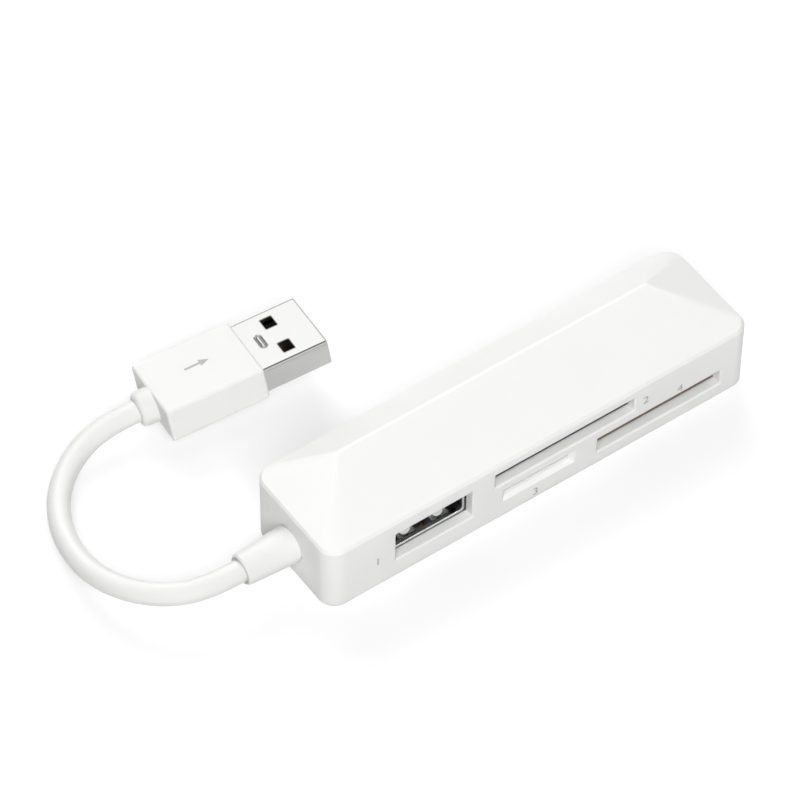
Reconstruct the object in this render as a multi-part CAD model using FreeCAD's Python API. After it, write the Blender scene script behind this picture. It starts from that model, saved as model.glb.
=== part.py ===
import FreeCAD, Part
import math
import os
from functools import partial

from FreeCAD import Placement, Rotation, Vector

# A USB card reader: a hip-roofed plastic housing with one USB port and three card slots along its
# front, and a short captive cable with a USB plug.
# Millimetres. The origin is the middle of the housing's underside, X runs along the housing with the
# cable at its low end, the slots face low Y, and Z is up.

# Housing plan and roof
BODY_LENGTH = 76.0
BODY_WIDTH = 19.4
CORNER_RADIUS = 2.7
WALL = 1.7
ROOF_WALL = 1.8
ROOF_DROP_SHARE_AT_WALL = 0.65
ROOF_DROP_SHARE_AT_RIDGE = 1.15
ROOF_RISE = 4.5
RIDGE_END_INSET = 10.2
RIDGE_BACK_INSET = 6.8
RIDGE_FLAT = 0.45
RIM_BEVEL_DROP = 0.35
RIM_BEVEL_SHARE = 0.03
HIP_CREASE = 1.2
EDGE_BREAK = 0.2
RIB_COUNT = 3
RIB_PITCH = 19.0
RIB_THICKNESS = 0.8

# Clearances
FIT = 0.1
BOARD_EDGE_GAP = 0.4
SOCKET_GAP = 0.1
HEADROOM = 0.48

# Cards and the sockets that hold them
UPPER_CARD_WIDTH = 24.0
UPPER_MOUTH_HEIGHT = 2.8
UPPER_BASE = 0.5
STICK_CARD_WIDTH = 21.5
STICK_MOUTH_HEIGHT = 3.0
STICK_FLOOR = 0.7
STICK_BOARD_GAP = 0.2
SMALL_CARD_WIDTH = 11.0
SMALL_MOUTH_HEIGHT = 0.9
SMALL_BASE = 0.4
CARD_PLAY = 0.5
MOUTH_MARGIN = 0.35
RECESS_MARGIN = 0.05
RECESS_ABOVE_SLIT = 0.05
RECESS_BELOW_SLIT = 0.65
RECESS_FLARE = 0.8
RECESS_FLARE_HEIGHT = 0.5
RECESS_DEPTH = 0.7
RAIL = 1.0
REAR_WALL = 1.2
COVER_SHEET = 0.25
CONTACT_SHEET = 0.2
CONTACT_FOOT = 0.9
CONTACT_PLAY = 0.1
CONTACT_BEND_SHARE = 0.5
CONTACT_CREST_SHARE = 0.3
CONTACT_TIP_SHARE = 0.12
COVER_WINDOW_WIDTH_SHARE = 0.5
COVER_WINDOW_DEPTH_SHARE = 0.33
UPPER_CONTACTS = 9
UPPER_CONTACT_PITCH = 2.5
UPPER_CONTACT_WIDTH = 0.9
UPPER_SPRING_LENGTH = 5.2
UPPER_SPRING_RISE = 0.8
SMALL_CONTACTS = 8
SMALL_CONTACT_PITCH = 1.1
SMALL_CONTACT_WIDTH = 0.6
SMALL_SPRING_LENGTH = 3.6
SMALL_SPRING_RISE = 0.45
STICK_CONTACTS = 10
STICK_CONTACT_PITCH = 1.8
STICK_CONTACT_WIDTH = 0.8
STICK_SPRING_LENGTH = 5.0
STICK_SPRING_RISE = 0.7

# Along the front the port, the small slot and the stick slot stand in a row. The length they leave
# spare is shared out: the cable's bay, the gap after the port, the gap before the stick slot, and
# the rest at the far end. The upper slot stands a stagger to the right of the small one.
CABLE_BAY_SHARE = 0.4767
PORT_GAP_SHARE = 0.2395
STICK_GAP_SHARE = 0.1442
SLOT_STAGGER = 4.75

# Bottom cover
COVER_THICKNESS = 1.5
COVER_TO_SOCKET = 0.2
HOOK_WIDTH = 3.0
HOOK_THICKNESS = 0.9
HOOK_HEIGHT = 2.4
HOOK_BARB = 0.45
HOOK_BARB_HEIGHT = 0.9
BACK_HOOK_SPREAD = 13.0
POST_DIAMETER = 2.2
PIN_DIAMETER = 1.2
PIN_HEIGHT = 1.0
POST_BACK_INSET = 1.3
CRADLE_WIDTH = 1.2

# Circuit board
BOARD_THICKNESS = 1.2
BOARD_LEFT_SHARE = 0.468
BOARD_RIGHT_GAP = 1.2
BOARD_CORNER = 0.8

# USB port
PORT_WIDTH = 13.1
PORT_HEIGHT = 5.7
PORT_LENGTH = 12.0
PORT_SHEET = 0.3
PORT_SINK = 0.2
PORT_MARGIN_X = 0.25
PORT_MARGIN_Z = 0.05
PORT_CORNER = 0.5
PORT_TAB_LENGTH = 2.4
PORT_TAB_REACH = 1.1
PORT_LIP = 0.15
PORT_LIP_FLARE = 0.15
TONGUE_WIDTH = 11.1
TONGUE_THICKNESS = 1.84
TONGUE_SETBACK = 2.15
TONGUE_TOP_GAP = 0.65
TONGUE_ROOT = 2.6
TONGUE_BEVEL_SHARE = 0.2
PORT_CONTACT_OFFSETS = (-3.5, -1.0, 1.0, 3.5)
PORT_CONTACT_WIDTH = 1.0
PORT_CONTACT_SHEET = 0.25
PORT_CONTACT_SETBACK = 0.1
PORT_FOOT = 0.9
SPRING_SPREAD = 5.8
SPRING_WIDTH = 2.4
SPRING_LENGTH = 5.2
SPRING_SETBACK = 1.1
SPRING_NOSE = 0.95
SPRING_RISE = 0.85
SPRING_DIP = 0.2
SPRING_SLOT = 0.3
SPRING_ROUNDING_SHARE = 0.48

# Chips and small parts on the board
LEAD_SHEET = 0.15
LEAD_REACH = 1.0
LEAD_RISE = 0.6
CHIP_STANDOFF = 0.1
READER_BODY = 7.0
READER_HEIGHT = 1.4
READER_LEADS_PER_SIDE = 12
READER_LEAD_PITCH = 0.5
READER_LEAD_WIDTH = 0.22
HUB_BODY = 4.0
HUB_HEIGHT = 0.85
CHIP_DOT = 0.6
CHIP_DOT_DEPTH = 0.08
CHIP_GAP = 0.5
CRYSTAL_LENGTH = 3.2
CRYSTAL_WIDTH = 2.5
CRYSTAL_HEIGHT = 0.8
CRYSTAL_BASE = 0.5
CRYSTAL_BRIM = 0.2
CHIP_PART_LENGTH = 1.6
CHIP_PART_WIDTH = 0.8
CHIP_WAIST = 0.05
CAPACITOR_HEIGHT = 0.8
CAPACITOR_COUNT = 6
CAPACITOR_PITCH = 2.4
RESISTOR_HEIGHT = 0.45
RESISTOR_COUNT = 4
RESISTOR_PITCH = 1.2
TANTALUM_LENGTH = 3.5
TANTALUM_WIDTH = 2.8
TANTALUM_HEIGHT = 1.9
TANTALUM_DRAFT = 0.2

# Cable and its strain relief
CABLE_DIAMETER = 3.5
BOOT_LENGTH = 8.85
BOOT_ROOT_DIAMETER = 6.0
BOOT_TIP_DIAMETER = 5.0
BOOT_HEIGHT = 5.94
BOOT_NECK_DIAMETER = 4.8
BOOT_FLANGE_DIAMETER = 7.2
BOOT_FLANGE = 1.4
BOOT_TIP_RECESS = 0.4
BOOT_RECESS_DIAMETER = 4.3
BOOT_ROUNDING = 0.35
WIRE_DIAMETER = 0.9
WIRE_BUNDLE = 0.68
WIRE_PITCH = 1.9
WIRE_ON_BOARD = 1.2
WIRE_STRAIGHT_SHARE = 0.25
WIRE_RISE_SHARE = 0.7
WIRE_CORNERS = ((-1, -1), (-1, 1), (1, 1), (1, -1))
MITRED = 1

# Plug
PLUG_SHELL_WIDTH = 12.0
PLUG_SHELL_HEIGHT = 4.5
PLUG_SHELL_REACH = 10.6
PLUG_SHELL_ROOT = 6.0
PLUG_SHEET = 0.3
PLUG_SHELL_CORNER = 0.45
PLUG_WINDOW_X = 5.2
PLUG_WINDOW_LENGTH = 1.85
PLUG_WINDOW_WIDTH = 2.45
PLUG_WINDOW_SPREAD = 6.2
PLUG_RING_MARK_X = 2.45
PLUG_RING_MARK_LENGTH = 1.1
PLUG_RING_MARK_WIDTH = 3.3
PLUG_RING_MARK_DEPTH = 0.2
PLUG_RING_MARK_BAND = 0.36
PLUG_RING_MARK_SLOPE = 0.15
PLUG_RING_MARK_ROUNDING_SHARE = 0.49
PLUG_BLOCK_HEIGHT = 1.95
PLUG_BLOCK_SETBACK = 0.4
PLUG_CONTACT_WIDTH = 1.0
PLUG_CONTACT_SHEET = 0.25
PLUG_CONTACT_SETBACKS = (1.2, 2.2, 2.2, 1.2)
GRIP_LENGTH = 16.0
GRIP_WIDTH = 13.0
GRIP_HEIGHT = 5.8
GRIP_ROUNDING = 0.4
GRIP_NECK_LENGTH = 2.6
GRIP_NECK_DIAMETER = 5.7
GRIP_NECK_TAPER = 0.15
GRIP_NECK_ROUNDING = 0.8

# How the plug lies beside the housing: the middle of its front grip face, and its turn in degrees
PLUG_X = -23.36
PLUG_Y = 32.27
PLUG_YAW = -7.5
PLUG_NOSE_UP = 5.0
PLUG_ROLL = -11.0

# Route of the cable between its straight leads out of the strain relief and into the plug's neck
CABLE_LEAD = 5.4
CABLE_ROUTE = (
    Vector(-57.8, 2.6, 5.5),
    Vector(-62.0, 7.8, 4.7),
    Vector(-63.8, 14.4, 3.6),
    Vector(-62.9, 22.2, 2.6),
    Vector(-59.5, 29.0, 2.2),
    Vector(-53.7, 33.8, 2.4),
)
ARC_SHARE = 0.45

# Levels, from the underside up: cover, lower sockets, board, upper socket, roof
COVER_TOP = COVER_THICKNESS
STICK_UNDERSIDE = COVER_TOP + COVER_TO_SOCKET
STICK_MOUTH_FLOOR = STICK_UNDERSIDE + STICK_FLOOR
STICK_MOUTH = (STICK_MOUTH_FLOOR, STICK_MOUTH_FLOOR + STICK_MOUTH_HEIGHT)
BOARD_UNDERSIDE = STICK_MOUTH_FLOOR + STICK_MOUTH_HEIGHT + STICK_BOARD_GAP
BOARD_TOP = BOARD_UNDERSIDE + BOARD_THICKNESS
SMALL_MOUTH_TOP = BOARD_UNDERSIDE - SMALL_BASE
SMALL_MOUTH_FLOOR = SMALL_MOUTH_TOP - SMALL_MOUTH_HEIGHT
UPPER_MOUTH_FLOOR = BOARD_TOP + UPPER_BASE
UPPER_MOUTH_TOP = UPPER_MOUTH_FLOOR + UPPER_MOUTH_HEIGHT
UPPER_COVER_TOP = UPPER_MOUTH_TOP + COVER_SHEET
ROOF_DROP_AT_WALL = ROOF_DROP_SHARE_AT_WALL * ROOF_WALL
ROOF_DROP_AT_RIDGE = ROOF_DROP_SHARE_AT_RIDGE * ROOF_WALL
RIM_HEIGHT = UPPER_COVER_TOP + HEADROOM + ROOF_DROP_AT_WALL
PORT_MIDDLE = BOARD_UNDERSIDE + BOARD_THICKNESS / 2 + PORT_SINK
PORT_FLOOR = PORT_MIDDLE - PORT_HEIGHT / 2
TONGUE_TOP = PORT_MIDDLE + PORT_HEIGHT / 2 - PORT_SHEET - TONGUE_TOP_GAP
TONGUE_UNDERSIDE = TONGUE_TOP - TONGUE_THICKNESS

# Plan positions
LEFT_END = -BODY_LENGTH / 2
RIGHT_END = BODY_LENGTH / 2
FRONT = -BODY_WIDTH / 2
BACK = BODY_WIDTH / 2
INNER_LEFT = LEFT_END + WALL
INNER_RIGHT = RIGHT_END - WALL
INNER_FRONT = FRONT + WALL
INNER_BACK = BACK - WALL
INNER_CORNER = max(CORNER_RADIUS - WALL, EDGE_BREAK)
SOCKET_FRONT = INNER_FRONT + SOCKET_GAP
UPPER_SPACE = UPPER_CARD_WIDTH + CARD_PLAY
SMALL_SPACE = SMALL_CARD_WIDTH + CARD_PLAY
STICK_SPACE = STICK_CARD_WIDTH + CARD_PLAY
UPPER_OUTER = UPPER_SPACE + 2 * RAIL + 2 * COVER_SHEET
SMALL_OUTER = SMALL_SPACE + 2 * RAIL + 2 * COVER_SHEET
STICK_OUTER = STICK_SPACE + 2 * RAIL
SPARE_LENGTH = BODY_LENGTH - 2 * WALL - PORT_WIDTH - SMALL_OUTER - STICK_OUTER
CABLE_BAY = CABLE_BAY_SHARE * SPARE_LENGTH
PORT_LEFT = INNER_LEFT + CABLE_BAY
PORT_RIGHT = PORT_LEFT + PORT_WIDTH
SMALL_LEFT = PORT_RIGHT + PORT_GAP_SHARE * SPARE_LENGTH
SMALL_RIGHT = SMALL_LEFT + SMALL_OUTER
STICK_LEFT = SMALL_RIGHT + STICK_GAP_SHARE * SPARE_LENGTH
USB_X = PORT_LEFT + PORT_WIDTH / 2
SMALL_X = SMALL_LEFT + SMALL_OUTER / 2
STICK_X = STICK_LEFT + STICK_OUTER / 2
UPPER_X = SMALL_X + SLOT_STAGGER
UPPER_RIGHT = UPPER_X + UPPER_OUTER / 2
BOARD_LEFT = INNER_LEFT + BOARD_LEFT_SHARE * CABLE_BAY
BOARD_RIGHT = INNER_RIGHT - BOARD_RIGHT_GAP
BOARD_FRONT = INNER_FRONT + BOARD_EDGE_GAP
BOARD_BACK = INNER_BACK - BOARD_EDGE_GAP
POST_Y = BOARD_BACK - POST_BACK_INSET
UPPER_REAR = BOARD_BACK - CONTACT_FOOT
LOWER_REAR = POST_Y - POST_DIAMETER / 2 - FIT
PORT_REAR = SOCKET_FRONT + PORT_LENGTH
TONGUE_FRONT = SOCKET_FRONT + TONGUE_SETBACK
READER_X = UPPER_RIGHT + CHIP_GAP + LEAD_REACH + READER_BODY / 2
READER_Y = BOARD_FRONT + CHIP_GAP + LEAD_REACH + READER_BODY / 2
HUB_X = READER_X + READER_BODY / 2 + LEAD_REACH + CHIP_GAP + HUB_BODY / 2
END_HOOK_Y = INNER_BACK - INNER_CORNER - HOOK_WIDTH / 2 - FIT


def box(x_range, y_range, z_range):
    """A box between two limits on each axis."""
    low = Vector(x_range[0], y_range[0], z_range[0])
    return Part.makeBox(x_range[1] - low.x, y_range[1] - low.y, z_range[1] - low.z, low)


def around(middle, width):
    """The two limits of a width about its middle."""
    return (middle - width / 2, middle + width / 2)


def join(first, *others):
    """One solid from pieces that meet."""
    return first.fuse(list(others)).removeSplitter().Solids[0]


def cut(body, *tools):
    """A body with tools taken out of it."""
    return body.cut(list(tools)).removeSplitter().Solids[0]


def edges_along(block, axis):
    """The straight edges of a block that run along one axis."""
    return [edge for edge in block.Edges if edge.tangentAt(edge.FirstParameter).cross(axis).Length < FIT]


def rounded_rectangle(x_range, y_range, radius, z):
    """Face of a rectangle with round corners, level at z."""
    slab = box(x_range, y_range, (z, z + radius))
    rounded = slab.makeFillet(radius, edges_along(slab, Vector(0, 0, 1)))
    return min(rounded.Faces, key=lambda face: face.CenterOfMass.z)


def strip(profile, width, x):
    """A bent sheet-metal strip: its outline in Y and Z, extruded along X about its middle."""
    points = [Vector(x - width / 2, y, z) for y, z in profile]
    return polygon_face(*points).extrude(Vector(width, 0, 0))


def mouth_block(x_range, z_range, grow_x, grow_z, depth):
    """A block let into the front wall, which widens from its rear to the outside."""

    def outline(share, y):
        left, right = x_range[0] - grow_x * share, x_range[1] + grow_x * share
        low, high = z_range[0] - grow_z * share, z_range[1] + grow_z * share
        corners = ((left, low), (right, low), (right, high), (left, high))
        points = [Vector(side, y, level) for side, level in corners]
        return Part.makePolygon(points + points[:1])

    return Part.makeLoft([outline(1, FRONT), outline(0, FRONT + depth)], True, True)


def wall_slot(x_range, z_range):
    """A straight slot through the front wall with a broken edge on the outside."""
    throat = box(x_range, (FRONT, INNER_FRONT), z_range)
    return join(throat, mouth_block(x_range, z_range, EDGE_BREAK, EDGE_BREAK, EDGE_BREAK))


class Corner:
    """One round corner of a level outline, with the ridge end that the roof over it runs to."""

    def __init__(self, x_side, y_side, centre, radius, apex):
        self.x_side = x_side
        self.y_side = y_side
        self.centre = centre
        self.radius = radius
        self.apex = apex

    def toward_apex(self, share):
        """The same corner further up the roof, by a share of the rise."""
        centre = self.centre + (self.apex - self.centre) * share
        return Corner(self.x_side, self.y_side, centre, self.radius * (1 - share), self.apex)

    def lowered(self, drop):
        return Corner(self.x_side, self.y_side, self.centre - Vector(0, 0, drop), self.radius, self.apex)

    def on_end(self):
        return self.centre + Vector(self.x_side * self.radius, 0, 0)

    def on_side(self):
        return self.centre + Vector(0, self.y_side * self.radius, 0)

    def sharp(self):
        return self.centre + Vector(self.x_side * self.radius, self.y_side * self.radius, 0)

    def arc(self):
        reach = self.radius * math.sqrt(0.5)
        middle = self.centre + Vector(self.x_side * reach, self.y_side * reach, 0)
        return Part.Arc(self.on_side(), middle, self.on_end()).toShape()


def outline_corners(length, width, radius, rim, ridge_height, ridge_end_inset, ridge_back_inset):
    """Corners of the rim, in the order front left, front right, back right, back left."""
    corners = []
    for x_side, y_side in ((-1, -1), (1, -1), (1, 1), (-1, 1)):
        centre = Vector(x_side * (length / 2 - radius), y_side * (width / 2 - radius), rim)
        ridge_y = width / 2 - ridge_back_inset + y_side * RIDGE_FLAT / 2
        apex = Vector(x_side * (length / 2 - ridge_end_inset), ridge_y, ridge_height)
        corners.append(Corner(x_side, y_side, centre, radius, apex))
    return corners


def polygon_face(*points):
    return Part.Face(Part.makePolygon(list(points) + [points[0]]))


def band_faces(lower, upper):
    """The ring of faces between two outlines, straight between their corners."""
    faces = [Part.makeRuledSurface(a.arc(), b.arc()) for a, b in zip(lower, upper)]
    ends = {True: Corner.on_side, False: Corner.on_end}
    for index in range(len(lower)):
        following = (index + 1) % len(lower)
        along = ends[lower[index].y_side == lower[following].y_side]
        quad = [along(lower[index]), along(lower[following]), along(upper[following]), along(upper[index])]
        faces.append(polygon_face(*quad))
    return faces


def corner_patch(corner, crease):
    """Straight lines from a corner's arc to its ridge end; a crease draws the middle of the patch
    toward the front, which leaves an edge along the back facet."""
    weights = (1.0, math.sqrt(0.5), 1.0)
    patch = Part.BezierSurface()
    patch.increase(2, 2)
    for column, base in enumerate((corner.on_side(), corner.sharp(), corner.on_end())):
        shift = Vector(0, -crease, 0) if column == 1 else Vector()
        for row, pole in enumerate((base, (base + corner.apex) / 2 + shift, corner.apex)):
            patch.setPole(column + 1, row + 1, pole)
            patch.setWeight(column + 1, row + 1, weights[column])
    return patch.toShape()


def roof_faces(corners, back_crease):
    """Four flat facets round a narrow flat ridge, with a patch over each round corner."""
    front_left, front_right, back_right, back_left = corners
    return [
        polygon_face(front_left.apex, front_right.apex, back_right.apex, back_left.apex),
        polygon_face(front_left.on_side(), front_right.on_side(), front_right.apex, front_left.apex),
        polygon_face(back_right.on_side(), back_left.on_side(), back_left.apex, back_right.apex),
        polygon_face(back_left.on_end(), front_left.on_end(), front_left.apex, back_left.apex),
        polygon_face(front_right.on_end(), back_right.on_end(), back_right.apex, front_right.apex),
        corner_patch(front_left, 0.0),
        corner_patch(front_right, 0.0),
        corner_patch(back_right, back_crease),
        corner_patch(back_left, back_crease),
    ]


def closed_solid(faces):
    shell = Part.makeShell(faces)
    shell.sewShape()
    solid = Part.makeSolid(shell)
    if solid.Volume < 0:
        solid.reverse()
    return solid


def outer_block():
    """The housing's outside as one solid: upright walls, a bevelled rim and the hip roof."""
    rim = outline_corners(
        BODY_LENGTH,
        BODY_WIDTH,
        CORNER_RADIUS,
        RIM_HEIGHT,
        RIM_HEIGHT + ROOF_RISE,
        RIDGE_END_INSET,
        RIDGE_BACK_INSET,
    )
    wall_top = [corner.lowered(RIM_BEVEL_DROP) for corner in rim]
    roof_foot = [corner.toward_apex(RIM_BEVEL_SHARE) for corner in rim]
    floor = rounded_rectangle((LEFT_END, RIGHT_END), (FRONT, BACK), CORNER_RADIUS, 0.0)
    walls = floor.extrude(Vector(0, 0, RIM_HEIGHT - RIM_BEVEL_DROP))
    wall_faces = sorted(walls.Faces, key=lambda face: face.CenterOfMass.z)[:-1]
    return closed_solid(wall_faces + band_faces(wall_top, roof_foot) + roof_faces(roof_foot, HIP_CREASE))


def inner_block():
    """The hollow of the housing, open at the bottom, with its roof parallel to the outside."""
    rim = outline_corners(
        BODY_LENGTH - 2 * WALL,
        BODY_WIDTH - 2 * WALL,
        INNER_CORNER,
        RIM_HEIGHT - ROOF_DROP_AT_WALL,
        RIM_HEIGHT + ROOF_RISE - ROOF_DROP_AT_RIDGE,
        RIDGE_END_INSET - WALL,
        RIDGE_BACK_INSET - WALL,
    )
    floor = rounded_rectangle((INNER_LEFT, INNER_RIGHT), (INNER_FRONT, INNER_BACK), INNER_CORNER, 0.0)
    walls = floor.extrude(Vector(0, 0, RIM_HEIGHT - ROOF_DROP_AT_WALL))
    wall_faces = sorted(walls.Faces, key=lambda face: face.CenterOfMass.z)[:-1]
    return closed_solid(wall_faces + roof_faces(rim, 0.0))


def hook_places():
    """Where the cover's snap hooks stand: a point on the inner wall and the way out of the housing."""
    places = []
    for side, x in ((-1, INNER_LEFT), (1, INNER_RIGHT)):
        for y in (-END_HOOK_Y, END_HOOK_Y):
            places.append((Vector(x, y, 0), Vector(side, 0, 0)))
    for x in (-BACK_HOOK_SPREAD, BACK_HOOK_SPREAD):
        places.append((Vector(x, INNER_BACK, 0), Vector(0, 1, 0)))
    return places


def hook_solid(place, outward, grow, with_stem):
    """A snap hook's barb, and its stem if asked, grown all round by a clearance."""
    top = COVER_TOP + HOOK_HEIGHT
    foot = top - HOOK_BARB_HEIGHT
    face = -FIT
    outline = [(face, foot - grow), (face + HOOK_BARB + grow, foot - grow), (face, top + grow)]
    if with_stem:
        inner = face - HOOK_THICKNESS
        stem = [(inner, top), (inner, COVER_TOP), (face, COVER_TOP)]
        outline = stem + outline
    across = Vector(0, 0, 1).cross(outward)
    width = HOOK_WIDTH + 2 * grow
    start = place - across * (width / 2)
    points = [start + outward * reach + Vector(0, 0, z) for reach, z in outline]
    return polygon_face(*points).extrude(across * width)


def post_places():
    """Board supports on the cover: one at the cable end, the others along the back."""
    after_port = (PORT_RIGHT + SMALL_LEFT) / 2
    before_stick = (SMALL_RIGHT + STICK_LEFT) / 2
    left = BOARD_LEFT + POST_DIAMETER / 2 + BOARD_EDGE_GAP
    right = BOARD_RIGHT - POST_DIAMETER
    return ((left, POST_Y), (after_port, POST_Y), (before_stick, POST_Y), (right, POST_Y))


def pin_places():
    """The first and last support carry a pin that holds the board in place."""
    places = post_places()
    return (places[0], places[-1])


def press_post_places():
    """Roof posts that hold the board down, over its front corners and beside the USB port."""
    left = BOARD_LEFT + POST_DIAMETER / 2 + BOARD_EDGE_GAP
    right = BOARD_RIGHT - POST_DIAMETER / 2 - BOARD_EDGE_GAP
    front = BOARD_FRONT + POST_DIAMETER / 2 + BOARD_EDGE_GAP
    return ((left, front), (right, front))


def top_shell():
    """Upper housing: roof and walls in one moulding, with the openings, posts and cross ribs."""
    hollow = inner_block()
    shell = outer_block().cut(hollow)
    port_height = PORT_HEIGHT + 2 * PORT_MARGIN_Z
    recess_levels = (SMALL_MOUTH_FLOOR - RECESS_BELOW_SLIT, SMALL_MOUTH_TOP + RECESS_ABOVE_SLIT)
    recess_width = around(SMALL_X, SMALL_SPACE + 2 * RECESS_MARGIN)
    openings = [
        wall_slot(around(USB_X, PORT_WIDTH + 2 * PORT_MARGIN_X), around(PORT_MIDDLE, port_height)),
        wall_slot(around(UPPER_X, UPPER_SPACE + 2 * MOUTH_MARGIN), (UPPER_MOUTH_FLOOR, UPPER_MOUTH_TOP)),
        wall_slot(around(STICK_X, STICK_SPACE + 2 * MOUTH_MARGIN), STICK_MOUTH),
        mouth_block(recess_width, recess_levels, RECESS_FLARE, RECESS_FLARE_HEIGHT, RECESS_DEPTH),
        box(around(SMALL_X, SMALL_SPACE), (FRONT, INNER_FRONT), (SMALL_MOUTH_FLOOR, SMALL_MOUTH_TOP)),
    ]
    hole_radius = BOOT_NECK_DIAMETER / 2 + FIT / 2
    openings.append(Part.makeCylinder(hole_radius, WALL, Vector(LEFT_END, 0, BOOT_HEIGHT), Vector(1, 0, 0)))
    for place, outward in hook_places():
        openings.append(hook_solid(place, outward, FIT, False))
    shell = cut(shell, *openings)
    above = RIM_HEIGHT + ROOF_RISE
    posts = []
    for x, y in press_post_places():
        posts.append(Part.makeCylinder(POST_DIAMETER / 2, above - BOARD_TOP, Vector(x, y, BOARD_TOP)))
    rib_foot = UPPER_COVER_TOP + HEADROOM / 2
    for x in contact_row(0.0, RIB_COUNT, RIB_PITCH):
        posts.append(box(around(x, RIB_THICKNESS), (INNER_FRONT, INNER_BACK), (rib_foot, above)))
    inside = [post.common(hollow) for post in posts]
    return join(shell, *inside)


def bottom_cover():
    """Flat cover let into the underside, with snap hooks, board posts and a cradle for the port."""
    outline = rounded_rectangle(
        (INNER_LEFT + FIT, INNER_RIGHT - FIT), (INNER_FRONT + FIT, INNER_BACK - FIT), INNER_CORNER, 0.0
    )
    plate = outline.extrude(Vector(0, 0, COVER_THICKNESS))
    under = [edge for edge in plate.Edges if edge.BoundBox.ZMax < COVER_THICKNESS / 2]
    plate = plate.makeChamfer(EDGE_BREAK, under)
    pieces = [hook_solid(place, outward, 0.0, True) for place, outward in hook_places()]
    for x, y in post_places():
        height = BOARD_UNDERSIDE - COVER_TOP
        pieces.append(Part.makeCylinder(POST_DIAMETER / 2, height, Vector(x, y, COVER_TOP)))
    for x, y in pin_places():
        pieces.append(Part.makeCylinder(PIN_DIAMETER / 2, PIN_HEIGHT, Vector(x, y, BOARD_UNDERSIDE)))
    cradle_width = PORT_WIDTH - 2 * PORT_CORNER
    for y in (SOCKET_FRONT + PORT_LENGTH / 4, PORT_REAR - PORT_LENGTH / 4):
        pieces.append(box(around(USB_X, cradle_width), around(y, CRADLE_WIDTH), (COVER_TOP, PORT_FLOOR)))
    return join(plate, *pieces)


def main_board():
    """Circuit board, notched at the front for the sunk USB port and holed for the cover's pins."""
    x_range = (BOARD_LEFT, BOARD_RIGHT)
    y_range = (BOARD_FRONT, BOARD_BACK)
    outline = rounded_rectangle(x_range, y_range, BOARD_CORNER, BOARD_UNDERSIDE)
    board = outline.extrude(Vector(0, 0, BOARD_THICKNESS))
    notch_width = PORT_WIDTH + 2 * PORT_LIP_FLARE + 2 * FIT
    tools = [box(around(USB_X, notch_width), (BOARD_FRONT, PORT_REAR + FIT), (BOARD_UNDERSIDE, BOARD_TOP))]
    for x, y in pin_places():
        hole = PIN_DIAMETER / 2 + FIT
        tools.append(Part.makeCylinder(hole, BOARD_THICKNESS, Vector(x, y, BOARD_UNDERSIDE)))
    return cut(board, *tools)


def tube_block(width, height, length, corner, middle, front):
    """A rounded bar along Y, from which folded metal sleeves are made."""
    bar = box(around(middle.x, width), (front, front + length), around(middle.z, height))
    return bar.makeFillet(corner, edges_along(bar, Vector(0, 1, 0)))


def flared_block(width, height, corner, middle):
    """A rounded bar as long as the port's lip, which widens to the front by the lip's flare."""
    outlines = []
    for grow, y in ((PORT_LIP_FLARE, SOCKET_FRONT), (0.0, SOCKET_FRONT + PORT_LIP)):
        bar = tube_block(width + 2 * grow, height + 2 * grow, PORT_LIP, corner, middle, y)
        front = min(bar.Faces, key=lambda face: face.CenterOfMass.y)
        outlines.append(front.OuterWire)
    return Part.makeLoft(outlines, True, True)


def spring_profile():
    """Side outline of a port spring: it rises from the floor to a crest and drops to its tip."""
    top = PORT_FLOOR + PORT_SHEET
    root = SOCKET_FRONT + SPRING_SETBACK + SPRING_LENGTH
    tip = SOCKET_FRONT + SPRING_SETBACK
    crest = tip + SPRING_NOSE
    upper = [(root, top), (crest, top + SPRING_RISE), (tip, top - SPRING_DIP)]
    lower = [(y, z - PORT_SHEET) for y, z in reversed(upper)]
    return upper + lower


def usb_port_shell():
    """Folded steel sleeve of the port: a flared lip, two springs cut from its floor, two solder tabs."""
    middle = Vector(USB_X, 0, PORT_MIDDLE)
    sleeve = tube_block(PORT_WIDTH, PORT_HEIGHT, PORT_LENGTH, PORT_CORNER, middle, SOCKET_FRONT)
    inner_width = PORT_WIDTH - 2 * PORT_SHEET
    inner_height = PORT_HEIGHT - 2 * PORT_SHEET
    inner_corner = PORT_CORNER - PORT_SHEET / 2
    bore = tube_block(inner_width, inner_height, PORT_LENGTH, inner_corner, middle, SOCKET_FRONT)
    lip = flared_block(PORT_WIDTH, PORT_HEIGHT, PORT_CORNER, middle)
    mouth = flared_block(inner_width, inner_height, inner_corner, middle)
    shell = sleeve.fuse(lip).cut([bore, mouth])
    springs = []
    tip = SOCKET_FRONT + SPRING_SETBACK
    root = tip + SPRING_LENGTH
    floor = (PORT_FLOOR, PORT_FLOOR + PORT_SHEET)
    for side in (-1, 1):
        x = USB_X + side * SPRING_SPREAD / 2
        window = box(around(x, SPRING_WIDTH + 2 * SPRING_SLOT), (tip - SPRING_SLOT, root), floor)
        shell = shell.cut(window)
        spring = strip(spring_profile(), SPRING_WIDTH, x)
        rounding = SPRING_WIDTH * SPRING_ROUNDING_SHARE
        outline = box(around(x, SPRING_WIDTH), (tip, root), (PORT_FLOOR - SPRING_RISE, PORT_MIDDLE))
        upright = edges_along(outline, Vector(0, 0, 1))
        front_edges = [edge for edge in upright if edge.BoundBox.YMax < tip + FIT]
        springs.append(spring.common(outline.makeFillet(rounding, front_edges)))
    tab_y = around(SOCKET_FRONT + PORT_LENGTH / 2, PORT_TAB_LENGTH)
    tabs = []
    for side in (-1, 1):
        inner = USB_X + side * (PORT_WIDTH / 2 - PORT_SHEET / 2)
        outer = USB_X + side * (PORT_WIDTH / 2 + PORT_TAB_REACH)
        tabs.append(box(sorted((inner, outer)), tab_y, (BOARD_TOP, BOARD_TOP + PORT_SHEET)))
    return join(shell, *springs, *tabs)


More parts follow.
